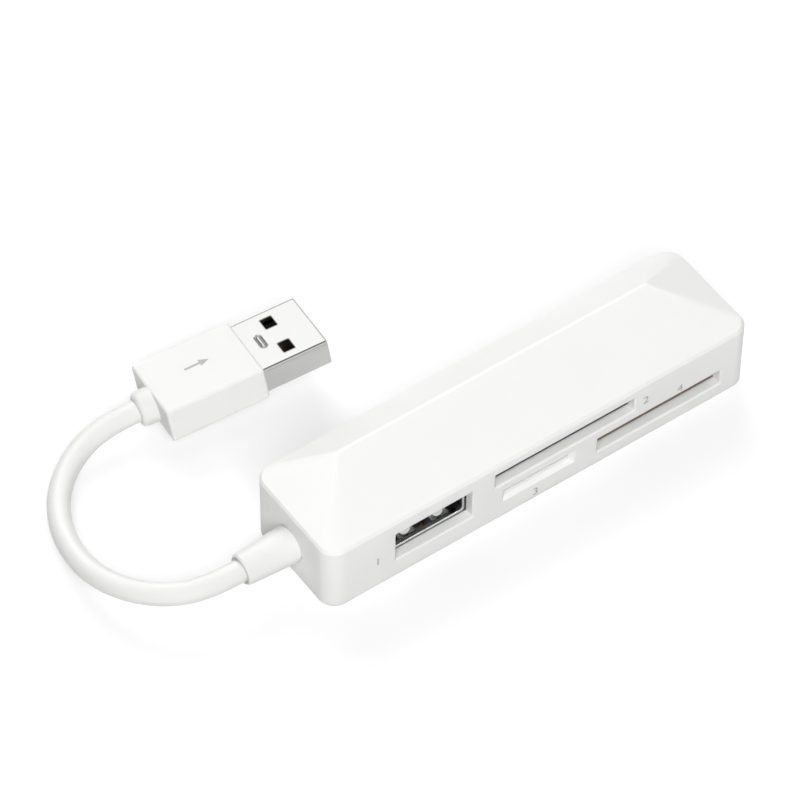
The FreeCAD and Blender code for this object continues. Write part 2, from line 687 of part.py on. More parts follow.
def port_contact(x):
    """One port contact: a blade under the tongue, a riser in its root and a foot on the board."""
    sheet = PORT_CONTACT_SHEET
    front = TONGUE_FRONT + PORT_CONTACT_SETBACK
    riser = PORT_REAR - TONGUE_ROOT / 2
    low, top = TONGUE_UNDERSIDE - sheet, TONGUE_UNDERSIDE
    foot = BOARD_TOP
    profile = [
        (front, top - sheet / 2),
        (front + 2 * sheet, low),
        (riser + sheet, low),
        (riser + sheet, foot),
        (PORT_REAR + PORT_FOOT, foot),
        (PORT_REAR + PORT_FOOT, foot + sheet),
        (riser, foot + sheet),
        (riser, top),
        (front, top),
    ]
    return strip(profile, PORT_CONTACT_WIDTH, x)


def usb_port_contacts():
    return Part.makeCompound([port_contact(USB_X + offset) for offset in PORT_CONTACT_OFFSETS])


def usb_port_tongue():
    """Insulator of the port: a root that fills the sleeve's rear and the tongue that faces the plug."""
    inner_width = PORT_WIDTH - 2 * PORT_SHEET - 2 * FIT
    inner_height = PORT_HEIGHT - 2 * PORT_SHEET
    root = tube_block(
        inner_width,
        inner_height,
        TONGUE_ROOT,
        PORT_CORNER - PORT_SHEET / 2,
        Vector(USB_X, 0, PORT_MIDDLE),
        PORT_REAR - TONGUE_ROOT,
    )
    y_range = (TONGUE_FRONT, PORT_REAR - TONGUE_ROOT)
    tongue = box(around(USB_X, TONGUE_WIDTH), y_range, (TONGUE_UNDERSIDE, TONGUE_TOP))
    cross_edges = edges_along(tongue, Vector(1, 0, 0))
    nose = [edge for edge in cross_edges if edge.BoundBox.YMax < TONGUE_FRONT + FIT]
    tongue = tongue.makeChamfer(TONGUE_THICKNESS * TONGUE_BEVEL_SHARE, nose)
    contacts = [port_contact(USB_X + offset) for offset in PORT_CONTACT_OFFSETS]
    return cut(join(root, tongue), *contacts)


def spring_contact(x, width, rear, base, mouth, rise, length, foot):
    """One card contact: a foot behind the socket, a run along its base and a spring into the mouth.

    base is the board's face that the foot lies on, and mouth the socket's floor on the card's side.
    """
    way = 1 if mouth > base else -1
    sheet = way * CONTACT_SHEET
    bend = rear - REAR_WALL - length
    root = bend + length * CONTACT_BEND_SHARE
    crest = bend - length * CONTACT_CREST_SHARE
    tip = crest - length * CONTACT_TIP_SHARE
    high = mouth + way * rise
    profile = [
        (rear + foot, base),
        (root, base),
        (crest, high - sheet),
        (tip, high - 2 * sheet),
        (tip, high - sheet),
        (crest, high),
        (root, base + sheet),
        (rear + foot, base + sheet),
    ]
    return strip(profile, width, x)


def contact_row(middle, count, pitch):
    """Places of a row of contacts about its middle."""
    return [middle + (index - (count - 1) / 2) * pitch for index in range(count)]


def contact_grooves(places, width, rear, base, floor, length):
    """Room in a socket's base for its contacts, from the bend of their springs to the rear."""
    levels = sorted((base, floor))
    front = rear - REAR_WALL - length * (1 + CONTACT_BEND_SHARE)
    return [box(around(x, width + 2 * CONTACT_PLAY), (front, rear), levels) for x in places]


def socket_frame(x, space, rear, base, floor, ceiling):
    """Moulded card tray: base, two side rails and a rear wall, open to the front and to the cover."""
    outer = box(around(x, space + 2 * RAIL), (SOCKET_FRONT, rear), sorted((base, ceiling)))
    return outer.cut(box(around(x, space), (SOCKET_FRONT, rear - REAR_WALL), sorted((floor, ceiling))))


def socket_cover(x, space, rear, base, ceiling):
    """Folded sheet cover: a plate over the tray with a window, and a skirt down each rail."""
    way = 1 if ceiling > base else -1
    outer_width = space + 2 * RAIL + 2 * COVER_SHEET
    span = (SOCKET_FRONT, rear)
    top = ceiling + way * COVER_SHEET
    body = box(around(x, outer_width), span, sorted((base, top)))
    body = body.cut(box(around(x, space + 2 * RAIL), span, sorted((base, ceiling))))
    middle = (span[0] + span[1]) / 2
    window_width = space * COVER_WINDOW_WIDTH_SHARE
    window_depth = (rear - SOCKET_FRONT) * COVER_WINDOW_DEPTH_SHARE
    window = box(around(x, window_width), around(middle, window_depth), sorted((ceiling, top)))
    return cut(body, window)


def upper_places():
    return contact_row(UPPER_X, UPPER_CONTACTS, UPPER_CONTACT_PITCH)


def upper_socket_frame():
    levels = (BOARD_TOP, UPPER_MOUTH_FLOOR, UPPER_MOUTH_TOP)
    frame = socket_frame(UPPER_X, UPPER_SPACE, UPPER_REAR, *levels)
    grooves = contact_grooves(
        upper_places(),
        UPPER_CONTACT_WIDTH,
        UPPER_REAR,
        BOARD_TOP,
        UPPER_MOUTH_FLOOR,
        UPPER_SPRING_LENGTH,
    )
    return cut(frame, *grooves)


def upper_socket_cover():
    return socket_cover(UPPER_X, UPPER_SPACE, UPPER_REAR, BOARD_TOP, UPPER_MOUTH_TOP)


def upper_socket_contacts():
    contacts = [
        spring_contact(
            x,
            UPPER_CONTACT_WIDTH,
            UPPER_REAR,
            BOARD_TOP,
            UPPER_MOUTH_FLOOR,
            UPPER_SPRING_RISE,
            UPPER_SPRING_LENGTH,
            CONTACT_FOOT - FIT,
        )
        for x in upper_places()
    ]
    return Part.makeCompound(contacts)


def small_places():
    return contact_row(SMALL_X, SMALL_CONTACTS, SMALL_CONTACT_PITCH)


def small_socket_frame():
    levels = (BOARD_UNDERSIDE, SMALL_MOUTH_TOP, SMALL_MOUTH_FLOOR)
    frame = socket_frame(SMALL_X, SMALL_SPACE, LOWER_REAR, *levels)
    grooves = contact_grooves(
        small_places(),
        SMALL_CONTACT_WIDTH,
        LOWER_REAR,
        BOARD_UNDERSIDE,
        SMALL_MOUTH_TOP,
        SMALL_SPRING_LENGTH,
    )
    return cut(frame, *grooves)


def small_socket_cover():
    return socket_cover(SMALL_X, SMALL_SPACE, LOWER_REAR, BOARD_UNDERSIDE, SMALL_MOUTH_FLOOR)


def small_socket_contacts():
    contacts = [
        spring_contact(
            x,
            SMALL_CONTACT_WIDTH,
            LOWER_REAR,
            BOARD_UNDERSIDE,
            SMALL_MOUTH_TOP,
            SMALL_SPRING_RISE,
            SMALL_SPRING_LENGTH,
            CONTACT_FOOT - FIT,
        )
        for x in small_places()
    ]
    return Part.makeCompound(contacts)


def stick_places():
    return contact_row(STICK_X, STICK_CONTACTS, STICK_CONTACT_PITCH)


def stick_socket_frame():
    """Tray of the lower right slot: it hangs under the board, which closes its top."""
    outer_levels = (STICK_UNDERSIDE, BOARD_UNDERSIDE)
    outer = box(around(STICK_X, STICK_OUTER), (SOCKET_FRONT, LOWER_REAR), outer_levels)
    space_levels = (STICK_MOUTH_FLOOR, BOARD_UNDERSIDE)
    space = box(around(STICK_X, STICK_SPACE), (SOCKET_FRONT, LOWER_REAR - REAR_WALL), space_levels)
    grooves = []
    for x in stick_places():
        width = STICK_CONTACT_WIDTH + 2 * CONTACT_PLAY
        levels = (BOARD_UNDERSIDE - CONTACT_SHEET, BOARD_UNDERSIDE)
        grooves.append(box(around(x, width), (LOWER_REAR - REAR_WALL, LOWER_REAR), levels))
    return cut(outer, space, *grooves)


def stick_socket_contacts():
    ceiling = BOARD_UNDERSIDE - STICK_BOARD_GAP
    contacts = [
        spring_contact(
            x,
            STICK_CONTACT_WIDTH,
            LOWER_REAR,
            BOARD_UNDERSIDE,
            ceiling,
            STICK_SPRING_RISE,
            STICK_SPRING_LENGTH,
            CONTACT_FOOT,
        )
        for x in stick_places()
    ]
    return Part.makeCompound(contacts)


def chip_lead(width):
    """One chip lead at the origin, sloping out along X and down to the board."""
    side = -width / 2
    profile = [
        Vector(0, side, LEAD_RISE),
        Vector(LEAD_REACH, side, 0),
        Vector(LEAD_REACH, side, LEAD_SHEET),
        Vector(0, side, LEAD_RISE + LEAD_SHEET),
    ]
    return polygon_face(*profile).extrude(Vector(0, width, 0))


def chip_body(centre, size, standoff, height):
    """A square moulded chip with a bevelled top and a dot at its first corner."""
    top = centre.z + height
    body = box(around(centre.x, size), around(centre.y, size), (centre.z + standoff, top))
    top_edges = [edge for edge in body.Edges if edge.BoundBox.ZMin > top - FIT]
    body = body.makeChamfer(LEAD_SHEET, top_edges)
    inset = size / 2 - 2 * CHIP_DOT
    place = Vector(centre.x - inset, centre.y - inset, top - CHIP_DOT_DEPTH)
    return cut(body, Part.makeCylinder(CHIP_DOT / 2, CHIP_DOT_DEPTH, place))


def reader_controller():
    """The larger chip, with a row of leads on each of its four sides."""
    centre = Vector(READER_X, READER_Y, BOARD_TOP)
    rows = []
    for angle in (0, 90, 180, 270):
        for offset in contact_row(0.0, READER_LEADS_PER_SIDE, READER_LEAD_PITCH):
            lead = chip_lead(READER_LEAD_WIDTH)
            lead.translate(Vector(READER_BODY / 2, offset, 0))
            lead.rotate(Vector(), Vector(0, 0, 1), angle)
            lead.translate(centre)
            rows.append(lead)
    return join(chip_body(centre, READER_BODY, CHIP_STANDOFF, READER_HEIGHT), *rows)


def hub_controller():
    """The smaller chip, flat on its pads."""
    return chip_body(Vector(HUB_X, READER_Y, BOARD_TOP), HUB_BODY, 0.0, HUB_HEIGHT)


def crystal():
    """Low ceramic tray with a metal lid, behind the larger chip."""
    back = BOARD_BACK - BOARD_EDGE_GAP
    x_range = around(READER_X, CRYSTAL_LENGTH)
    y_range = (back - CRYSTAL_WIDTH, back)
    tray = box(x_range, y_range, (BOARD_TOP, BOARD_TOP + CRYSTAL_BASE))
    lid_x = (x_range[0] + CRYSTAL_BRIM, x_range[1] - CRYSTAL_BRIM)
    lid_y = (y_range[0] + CRYSTAL_BRIM, y_range[1] - CRYSTAL_BRIM)
    lid = box(lid_x, lid_y, (BOARD_TOP + CRYSTAL_BASE, BOARD_TOP + CRYSTAL_HEIGHT))
    return join(tray, lid)


def chip_part(x, y, size_x, size_y, z_range):
    """A small two-ended part on the board, with a shallow waist between its metal ends."""
    body = box(around(x, size_x), around(y, size_y), z_range)
    waist_x = size_x / 2 if size_x > size_y else size_x
    waist_y = size_y / 2 if size_y > size_x else size_y
    waist_top = z_range[1] - CHIP_WAIST
    return cut(body, box(around(x, waist_x), around(y, waist_y), (waist_top, z_range[1])))


def capacitors():
    """A row of capacitors under the board, behind the stick socket."""
    y = BOARD_BACK - BOARD_EDGE_GAP - CHIP_PART_WIDTH / 2
    levels = (BOARD_UNDERSIDE - CAPACITOR_HEIGHT, BOARD_UNDERSIDE)
    places = contact_row(STICK_X, CAPACITOR_COUNT, CAPACITOR_PITCH)
    return Part.makeCompound([chip_part(x, y, CHIP_PART_LENGTH, CHIP_PART_WIDTH, levels) for x in places])


def resistors():
    """A row of resistors behind the smaller chip."""
    y = READER_Y + HUB_BODY / 2 + CHIP_GAP + CHIP_PART_LENGTH / 2
    levels = (BOARD_TOP, BOARD_TOP + RESISTOR_HEIGHT)
    places = contact_row(HUB_X, RESISTOR_COUNT, RESISTOR_PITCH)
    return Part.makeCompound([chip_part(x, y, CHIP_PART_WIDTH, CHIP_PART_LENGTH, levels) for x in places])


def bulk_capacitor():
    """Moulded supply capacitor at the back right corner, its sides drafted to a smaller top."""
    x = HUB_X
    y = BOARD_BACK - BOARD_EDGE_GAP - TANTALUM_WIDTH / 2

    def outline(inset, z):
        left, right = around(x, TANTALUM_LENGTH - 2 * inset)
        front, back = around(y, TANTALUM_WIDTH - 2 * inset)
        corners = ((left, front), (right, front), (right, back), (left, back))
        points = [Vector(along, across, z) for along, across in corners]
        return Part.makePolygon(points + points[:1])

    foot = outline(0, BOARD_TOP)
    top = outline(TANTALUM_DRAFT, BOARD_TOP + TANTALUM_HEIGHT)
    return Part.makeLoft([foot, top], True, True)


def tangent_path(points):
    """Straight runs joined by arcs as large as the runs allow; returns the wire, its length and radii."""
    edges = []
    radii = []
    start = points[0]
    for before, corner, after in zip(points, points[1:], points[2:]):
        way_in = (corner - before).normalize()
        way_out = (after - corner).normalize()
        turn = way_in.getAngle(way_out)
        setback = ARC_SHARE * min(before.distanceToPoint(corner), corner.distanceToPoint(after))
        radius = setback / math.tan(turn / 2)
        arc_start = corner - way_in * setback
        arc_end = corner + way_out * setback
        inward = (way_out - way_in).normalize()
        depth = radius / math.cos(turn / 2) - radius
        arc_middle = corner + inward * depth
        edges.append(Part.LineSegment(start, arc_start).toShape())
        edges.append(Part.Arc(arc_start, arc_middle, arc_end).toShape())
        radii.append(radius)
        start = arc_end
    edges.append(Part.LineSegment(start, points[-1]).toShape())
    return Part.Wire(edges), sum(edge.Length for edge in edges), radii


def round_tube(points, diameter):
    """A round bar along a route of straight runs and tangent arcs."""
    path, length, radii = tangent_path(points)
    disc = Part.Wire(Part.makeCircle(diameter / 2, points[0], points[1] - points[0]))
    return path.makePipeShell([disc], True, False), length, radii


def boot_tip():
    return Vector(LEFT_END - BOOT_LENGTH, 0, BOOT_HEIGHT)


def plug_placement():
    """The plug's own frame, nose along X, set down so that its lowest grip corner is on the floor."""
    turn = Rotation(PLUG_YAW, -PLUG_NOSE_UP, PLUG_ROLL)
    corners = [
        turn.multVec(Vector(x, y, z))
        for x in (-GRIP_LENGTH, 0)
        for y in around(0, GRIP_WIDTH)
        for z in around(0, GRIP_HEIGHT)
    ]
    lift = -min(corner.z for corner in corners)
    return Placement(Vector(PLUG_X, PLUG_Y, lift), turn)


def placed_on_plug(shape):
    moved = shape.copy()
    moved.Placement = plug_placement().multiply(moved.Placement)
    return moved


def cable_jacket():
    """The free cable, from the recess in the strain relief's tip to the plug's neck."""
    start = boot_tip() + Vector(BOOT_TIP_RECESS, 0, 0)
    start_lead = boot_tip() - Vector(CABLE_LEAD, 0, 0)
    neck_end = -GRIP_LENGTH - GRIP_NECK_LENGTH
    end_lead = plug_placement().multVec(Vector(neck_end - CABLE_LEAD, 0, 0))
    end = plug_placement().multVec(Vector(neck_end, 0, 0))
    tube, length, radii = round_tube([start, start_lead, *CABLE_ROUTE, end_lead, end], CABLE_DIAMETER)
    section = math.pi * CABLE_DIAMETER ** 2 / 4
    print("cable length %.1f, arc radii %s" % (length, ", ".join("%.1f" % radius for radius in radii)))
    print("cable volume %.1f, section times length %.1f" % (tube.Volume, section * length))
    return tube


def cable_boot():
    """Strain relief moulded on the cable: tapered outside, a neck in the wall and a flange within."""
    tip = boot_tip().x
    flange_end = INNER_LEFT + FIT + BOOT_FLANGE
    neck = BOOT_NECK_DIAMETER / 2
    profile = [
        (tip + BOOT_TIP_RECESS, 0),
        (tip + BOOT_TIP_RECESS, BOOT_RECESS_DIAMETER / 2),
        (tip, BOOT_RECESS_DIAMETER / 2),
        (tip, BOOT_TIP_DIAMETER / 2 - BOOT_ROUNDING),
        (tip + BOOT_ROUNDING, BOOT_TIP_DIAMETER / 2),
        (LEFT_END - BOOT_ROUNDING, BOOT_ROOT_DIAMETER / 2),
        (LEFT_END, BOOT_ROOT_DIAMETER / 2 - BOOT_ROUNDING / 2),
        (LEFT_END, neck),
        (INNER_LEFT + FIT, neck),
        (INNER_LEFT + FIT, BOOT_FLANGE_DIAMETER / 2),
        (flange_end, BOOT_FLANGE_DIAMETER / 2),
        (flange_end, 0),
    ]
    points = [Vector(x, 0, BOOT_HEIGHT + radius) for x, radius in profile]
    return polygon_face(*points).revolve(Vector(0, 0, BOOT_HEIGHT), Vector(1, 0, 0), 360)


def cable_wire(index):
    """One insulated wire, from the bundle in the strain relief to its pad on the board."""
    start_x = INNER_LEFT + FIT + BOOT_FLANGE
    around_y = WIRE_CORNERS[index][0] * WIRE_BUNDLE
    around_z = WIRE_CORNERS[index][1] * WIRE_BUNDLE
    pad_y = contact_row(0.0, len(WIRE_CORNERS), WIRE_PITCH)[index]
    pad_z = BOARD_TOP + WIRE_DIAMETER / 2
    run = BOARD_LEFT - start_x
    points = [
        Vector(start_x, around_y, BOOT_HEIGHT + around_z),
        Vector(start_x + run * WIRE_STRAIGHT_SHARE, around_y, BOOT_HEIGHT + around_z),
        Vector(start_x + run * WIRE_RISE_SHARE, pad_y, pad_z),
        Vector(BOARD_LEFT + WIRE_ON_BOARD, pad_y, pad_z),
    ]
    disc = Part.Wire(Part.makeCircle(WIRE_DIAMETER / 2, points[0], points[1] - points[0]))
    return Part.makePolygon(points).makePipeShell([disc], True, False, MITRED)


def plug_bar(width, height, length, corner, start):
    """A rounded bar along the plug's own X."""
    bar = box((start, start + length), around(0, width), around(0, height))
    return bar.makeFillet(corner, edges_along(bar, Vector(1, 0, 0)))


def long_block(length, width, foot_growth):
    """A round-ended block as high as the stamped ring is deep, with sloping sides: its foot is wider all
    round by the growth, or narrower where that is negative."""
    top = PLUG_SHELL_HEIGHT / 2
    outlines = []
    for grow, level in ((foot_growth, top - PLUG_RING_MARK_DEPTH), (0.0, top)):
        full_length = length + 2 * grow
        full_width = width + 2 * grow
        rounding = full_length * PLUG_RING_MARK_ROUNDING_SHARE
        face = rounded_rectangle(around(PLUG_RING_MARK_X, full_length), around(0, full_width), rounding, level)
        outlines.append(face.OuterWire)
    return Part.makeLoft(outlines, True, True)


def plug_shell():
    """Folded steel sleeve of the plug: two windows in each broad side and a stamped ring on top."""
    length = PLUG_SHELL_ROOT + PLUG_SHELL_REACH
    sleeve = plug_bar(PLUG_SHELL_WIDTH, PLUG_SHELL_HEIGHT, length, PLUG_SHELL_CORNER, -PLUG_SHELL_ROOT)
    bore = plug_bar(
        PLUG_SHELL_WIDTH - 2 * PLUG_SHEET,
        PLUG_SHELL_HEIGHT - 2 * PLUG_SHEET,
        length,
        PLUG_SHELL_CORNER - PLUG_SHEET / 2,
        -PLUG_SHELL_ROOT,
    )
    tools = [bore]
    window_x = around(PLUG_WINDOW_X, PLUG_WINDOW_LENGTH)
    for y in around(0, PLUG_WINDOW_SPREAD):
        tools.append(box(window_x, around(y, PLUG_WINDOW_WIDTH), around(0, PLUG_SHELL_HEIGHT)))
    stamp = long_block(PLUG_RING_MARK_LENGTH, PLUG_RING_MARK_WIDTH, -PLUG_RING_MARK_SLOPE)
    band = 2 * PLUG_RING_MARK_BAND
    island = long_block(PLUG_RING_MARK_LENGTH - band, PLUG_RING_MARK_WIDTH - band, PLUG_RING_MARK_SLOPE)
    tools.append(stamp.cut(island))
    return placed_on_plug(cut(sleeve, *tools))


def plug_contact(index):
    """One flat contact, let into the top of the plug's block."""
    y = PORT_CONTACT_OFFSETS[index]
    top = -PLUG_SHELL_HEIGHT / 2 + PLUG_SHEET + PLUG_BLOCK_HEIGHT
    end = PLUG_SHELL_REACH - PLUG_CONTACT_SETBACKS[index]
    return box((0, end), around(y, PLUG_CONTACT_WIDTH), (top - PLUG_CONTACT_SHEET, top))


def plug_contacts():
    row = Part.makeCompound([plug_contact(index) for index in range(len(PORT_CONTACT_OFFSETS))])
    return placed_on_plug(row)


def plug_block():
    """Insulator of the plug: a full block inside the grip and a half-height shelf to the nose."""
    width = PLUG_SHELL_WIDTH - 2 * PLUG_SHEET - FIT
    height = PLUG_SHELL_HEIGHT - 2 * PLUG_SHEET
    floor = -PLUG_SHELL_HEIGHT / 2 + PLUG_SHEET
    corner = PLUG_SHELL_CORNER - PLUG_SHEET / 2
    root = plug_bar(width, height, PLUG_SHELL_ROOT, corner, -PLUG_SHELL_ROOT)
    shelf_width = width - 2 * corner
    shelf_end = PLUG_SHELL_REACH - PLUG_BLOCK_SETBACK
    shelf = box((-FIT, shelf_end), around(0, shelf_width), (floor, floor + PLUG_BLOCK_HEIGHT))
    contacts = [plug_contact(index) for index in range(len(PORT_CONTACT_OFFSETS))]
    return placed_on_plug(cut(join(root, shelf), *contacts))


def plug_grip():
    """Moulded grip round the sleeve's root, with a round neck that the cable leaves by."""
    body = box((-GRIP_LENGTH, 0), around(0, GRIP_WIDTH), around(0, GRIP_HEIGHT))
    body = body.makeFillet(GRIP_ROUNDING, body.Edges)
    wide = GRIP_NECK_DIAMETER / 2
    narrow = wide - GRIP_NECK_TAPER
    neck_end = -GRIP_LENGTH - GRIP_NECK_LENGTH
    neck_length = GRIP_NECK_LENGTH + GRIP_ROUNDING
    neck = Part.makeCone(narrow, wide, neck_length, Vector(neck_end, 0, 0), Vector(1, 0, 0))
    end_edge = [edge for edge in neck.Edges if edge.BoundBox.XMax < neck_end + FIT]
    neck = neck.makeFillet(GRIP_NECK_ROUNDING, end_edge)
    root = PLUG_SHELL_ROOT
    sleeve = plug_bar(PLUG_SHELL_WIDTH, PLUG_SHELL_HEIGHT, root, PLUG_SHELL_CORNER, -root)
    return placed_on_plug(cut(join(body, neck), sleeve))


PIECES = {
    "top_shell": top_shell,
    "bottom_cover": bottom_cover,
    "main_board": main_board,
    "usb_port_shell": usb_port_shell,
    "usb_port_tongue": usb_port_tongue,
    "usb_port_contacts": usb_port_contacts,
    "upper_socket_frame": upper_socket_frame,
    "upper_socket_cover": upper_socket_cover,
    "upper_socket_contacts": upper_socket_contacts,
    "small_socket_frame": small_socket_frame,
    "small_socket_cover": small_socket_cover,
    "small_socket_contacts": small_socket_contacts,
    "stick_socket_frame": stick_socket_frame,
    "stick_socket_contacts": stick_socket_contacts,
    "reader_controller": reader_controller,
    "hub_controller": hub_controller,
    "crystal": crystal,
    "capacitors": capacitors,
    "resistors": resistors,
    "bulk_capacitor": bulk_capacitor,
    "cable_boot": cable_boot,
    "cable_jacket": cable_jacket,
    "wire_red": partial(cable_wire, 0),
    "wire_white": partial(cable_wire, 1),
    "wire_green": partial(cable_wire, 2),
    "wire_black": partial(cable_wire, 3),
    "plug_grip": plug_grip,
    "plug_shell": plug_shell,
    "plug_block": plug_block,
    "plug_contacts": plug_contacts,
}


def main():
    os.makedirs("parts", exist_ok=True)
    for name, make in PIECES.items():
        make().exportStep("parts/%s.step" % name)


main()
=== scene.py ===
import math

import bpy
from mathutils import Matrix, Vector


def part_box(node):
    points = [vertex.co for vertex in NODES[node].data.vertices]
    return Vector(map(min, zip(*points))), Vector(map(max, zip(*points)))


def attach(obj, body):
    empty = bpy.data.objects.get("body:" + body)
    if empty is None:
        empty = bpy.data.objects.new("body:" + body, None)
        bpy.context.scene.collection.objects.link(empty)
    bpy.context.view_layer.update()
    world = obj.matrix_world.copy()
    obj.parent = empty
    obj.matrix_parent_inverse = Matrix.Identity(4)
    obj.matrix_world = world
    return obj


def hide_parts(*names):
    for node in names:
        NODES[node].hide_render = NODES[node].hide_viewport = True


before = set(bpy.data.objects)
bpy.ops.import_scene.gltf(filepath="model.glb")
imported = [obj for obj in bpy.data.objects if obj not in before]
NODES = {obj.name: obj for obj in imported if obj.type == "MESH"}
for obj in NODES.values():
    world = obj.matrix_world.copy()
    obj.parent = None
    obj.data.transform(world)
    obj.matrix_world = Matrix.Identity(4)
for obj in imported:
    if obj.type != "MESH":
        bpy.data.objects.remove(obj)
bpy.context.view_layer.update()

bl_info = {
    "name": "USB Card Reader",
    "version": (1, 0, 0),
    "blender": (4, 5, 0),
    "location": "View3D > Sidebar > Card Reader",
    "description": "Dresses the packed card reader: finishes, cable, markings, floor, light and camera",
    "category": "Object",
}

MM = 0.001
WHITE = (1.0, 1.0, 1.0, 1.0)

# The plug's own frame, its X along the plug to the nose: the middle of the grip's front face in the row's
# X and Y, in millimetres, and the plug's turns in degrees
PLUG_ORIGIN = (-23.36, 32.27)
PLUG_YAW = -7.5
PLUG_NOSE_UP = 5.0
PLUG_ROLL = -11.0

# Along the plug from that face, in millimetres: the sleeve's nose, the depth of its root in the grip, the
# end of the grip's neck, and the stretch of cable that leaves the neck straight
SLEEVE_REACH = 10.6
SLEEVE_ROOT = 6.0
NECK_END = -18.6
CABLE_LEAD = 5.4

# The cable's route from the strain relief to the plug's neck, as in the part's source, in millimetres
CABLE_START = (-46.45, 0.0, 5.94)
CABLE_ROUTE = (
    (-52.25, 0.0, 5.94),
    (-57.8, 2.6, 5.5),
    (-62.0, 7.8, 4.7),
    (-63.8, 14.4, 3.6),
    (-62.9, 22.2, 2.6),
    (-59.5, 29.0, 2.2),
    (-53.7, 33.8, 2.4),
)

# Middles of the numerals on the front wall, in millimetres: number, X and Z
NUMERALS = ((1, -29.5, 5.35), (2, 18.6, 8.35), (3, -1.3, 1.25), (4, 25.0, 6.6))

# Digits of the built-in font fill this share of its size
DIGIT_SHARE = 0.7

# The arrow's middle on the grip's top, in the plug's own frame, in millimetres
ARROW_X = -7.8
ARROW_Y = 0.6
GRIP_TOP = 2.9

# From the floor's middle to its edges, in metres
FLOOR_REACH = 3.0

# Shades of the room that metal mirrors. The shade of a direction goes from the first to the last level as
# its agreement with toward, the cosine of the angle between them, goes from start to end.
ROOM_SHADES = (
    # Dark low behind the object
    {"toward": (-0.25, -0.6, 0.76), "start": -0.25, "end": 0.3, "first": 0.02, "last": 1.0},
    # Dark overhead
    {"toward": (0.08, -0.12, 0.99), "start": 0.9, "end": 0.97, "first": 1.0, "last": 0.08},
)

# Soft boxes: the setting that holds the power, the box's side and place in metres, and whether metal
# mirrors it
SOFT_BOXES = (
    ("front", 0.6, (-0.37, -0.592, 0.674), False),
    ("back", 0.6, (0.26, 0.72, 0.48), False),
    ("top", 0.85, (0.18, 0.55, 0.69), False),
    ("glint", 0.5, (0.225, 0.7, 0.52), True),
    ("edge", 0.08, (0.36, -0.58, 0.68), True),
)

# The camera's sensor in millimetres, and the nearest and farthest that it sees in metres
SENSOR_WIDTH = 36.0
CLIP_NEAR = 0.01
CLIP_FAR = 20.0


def linear(hex_colour):
    """Linear colour from an sRGB hex value."""
    parts = [int(hex_colour[i:i + 2], 16) / 255 for i in (0, 2, 4)]
    return tuple(c / 12.92 if c <= 0.04045 else ((c + 0.055) / 1.055) ** 2.4 for c in parts)


def rgba(colour):
    """A colour with full cover, as a socket takes it."""
    return (colour[0], colour[1], colour[2], 1.0)


def brighter(colour, times):
    """A linear colour made brighter, up to white."""
    return tuple(min(1.0, part * times) for part in colour)


def per_metre(millimetres):
    """Texture scale that gives a pattern of that size on object coordinates in metres."""
    return 1000.0 / millimetres


def colour_prop(name, description, hex_colour):
    return bpy.props.FloatVectorProperty(
        name=name, description=description, default=linear(hex_colour), size=3, min=0.0, max=1.0,
        subtype="COLOR",
    )


def length_prop(name, description, metres):
    return bpy.props.FloatProperty(
        name=name, description=description, default=metres, min=0.0, precision=5, unit="LENGTH"
    )


def shift_prop(name, description, metres):
    return bpy.props.FloatProperty(name=name, description=description, default=metres, unit="LENGTH")


def angle_prop(name, description, degrees):
    return bpy.props.FloatProperty(
        name=name, description=description, default=math.radians(degrees), subtype="ANGLE"
    )


def power_prop(name, description, watts):
    return bpy.props.FloatProperty(name=name, description=description, default=watts, min=0.0, unit="POWER")


def share_prop(name, description, value):
    return bpy.props.FloatProperty(
        name=name, description=description, default=value, min=0.0, max=1.0, subtype="FACTOR"
    )


class ReaderFinish(bpy.types.PropertyGroup):
    """Colours and surface of the housing, its sockets, its board and the plug's metal."""

    abs_white: colour_prop("Housing white", "Colour of the moulded housing", "f4f4f3")
    abs_shade: colour_prop("Housing shade", "Slightly greyer patches of the moulding", "f0f0ef")
    abs_roughness: share_prop("Housing roughness", "Roughness of the satin moulding", 0.38)
    steel: colour_prop("Steel", "Nickel plating on the folded sleeves and covers", "cccccb")
    steel_roughness: share_prop("Steel roughness", "Roughness of the plating", 0.14)
    nylon: colour_prop("Black nylon", "Card trays and the plug's insulator", "1b1b1c")
    tongue: colour_prop("Grey nylon", "Tongue of the USB port", "6c7a7f")
    resin_tan: colour_prop("Tan resin", "Tray of the lower right slot", "8f7a6c")
    gold: colour_prop("Gold", "Plated contacts", "ecc88c")
    board: colour_prop("Board", "Solder mask of the circuit board", "1d5a34")
    board_track: colour_prop("Board tracks", "Copper tracks under the solder mask", "2f7a48")


class CableFinish(bpy.types.PropertyGroup):
    """Size and surface of the cable, its strain relief and the plug's grip."""

    diameter: length_prop("Diameter", "Outer diameter of the cable", 3.5 * MM)
    pvc_white: colour_prop("PVC white", "Colour of the soft mouldings", "eaeae9")
    pvc_shade: colour_prop("PVC shade", "Slightly greyer patches of the mouldings and the jacket", "e8e8e7")
    pvc_roughness: share_prop("PVC roughness", "Roughness of the soft mouldings", 0.42)
    jacket_white: colour_prop("Jacket white", "Colour of the extruded jacket", "ebebea")
    jacket_roughness: share_prop("Jacket roughness", "Roughness of the extruded jacket", 0.36)


class MarkingFinish(bpy.types.PropertyGroup):
    """Printed marks on the front and the plug."""

    ink: colour_prop("Ink", "Grey of the printed marks", "a9a9aa")
    height: length_prop("Numeral height", "Height of the numerals by the openings", 1.5 * MM)
    film: length_prop("Film", "Thickness of the printed film", 0.02 * MM)
    arrow_length: length_prop("Arrow length", "Length of the arrow on the plug", 4.0 * MM)
    arrow_width: length_prop("Arrow width", "Width and length of the arrow's head", 1.5 * MM)
    arrow_stroke: length_prop("Arrow stroke", "Width of the arrow's shaft", 0.4 * MM)


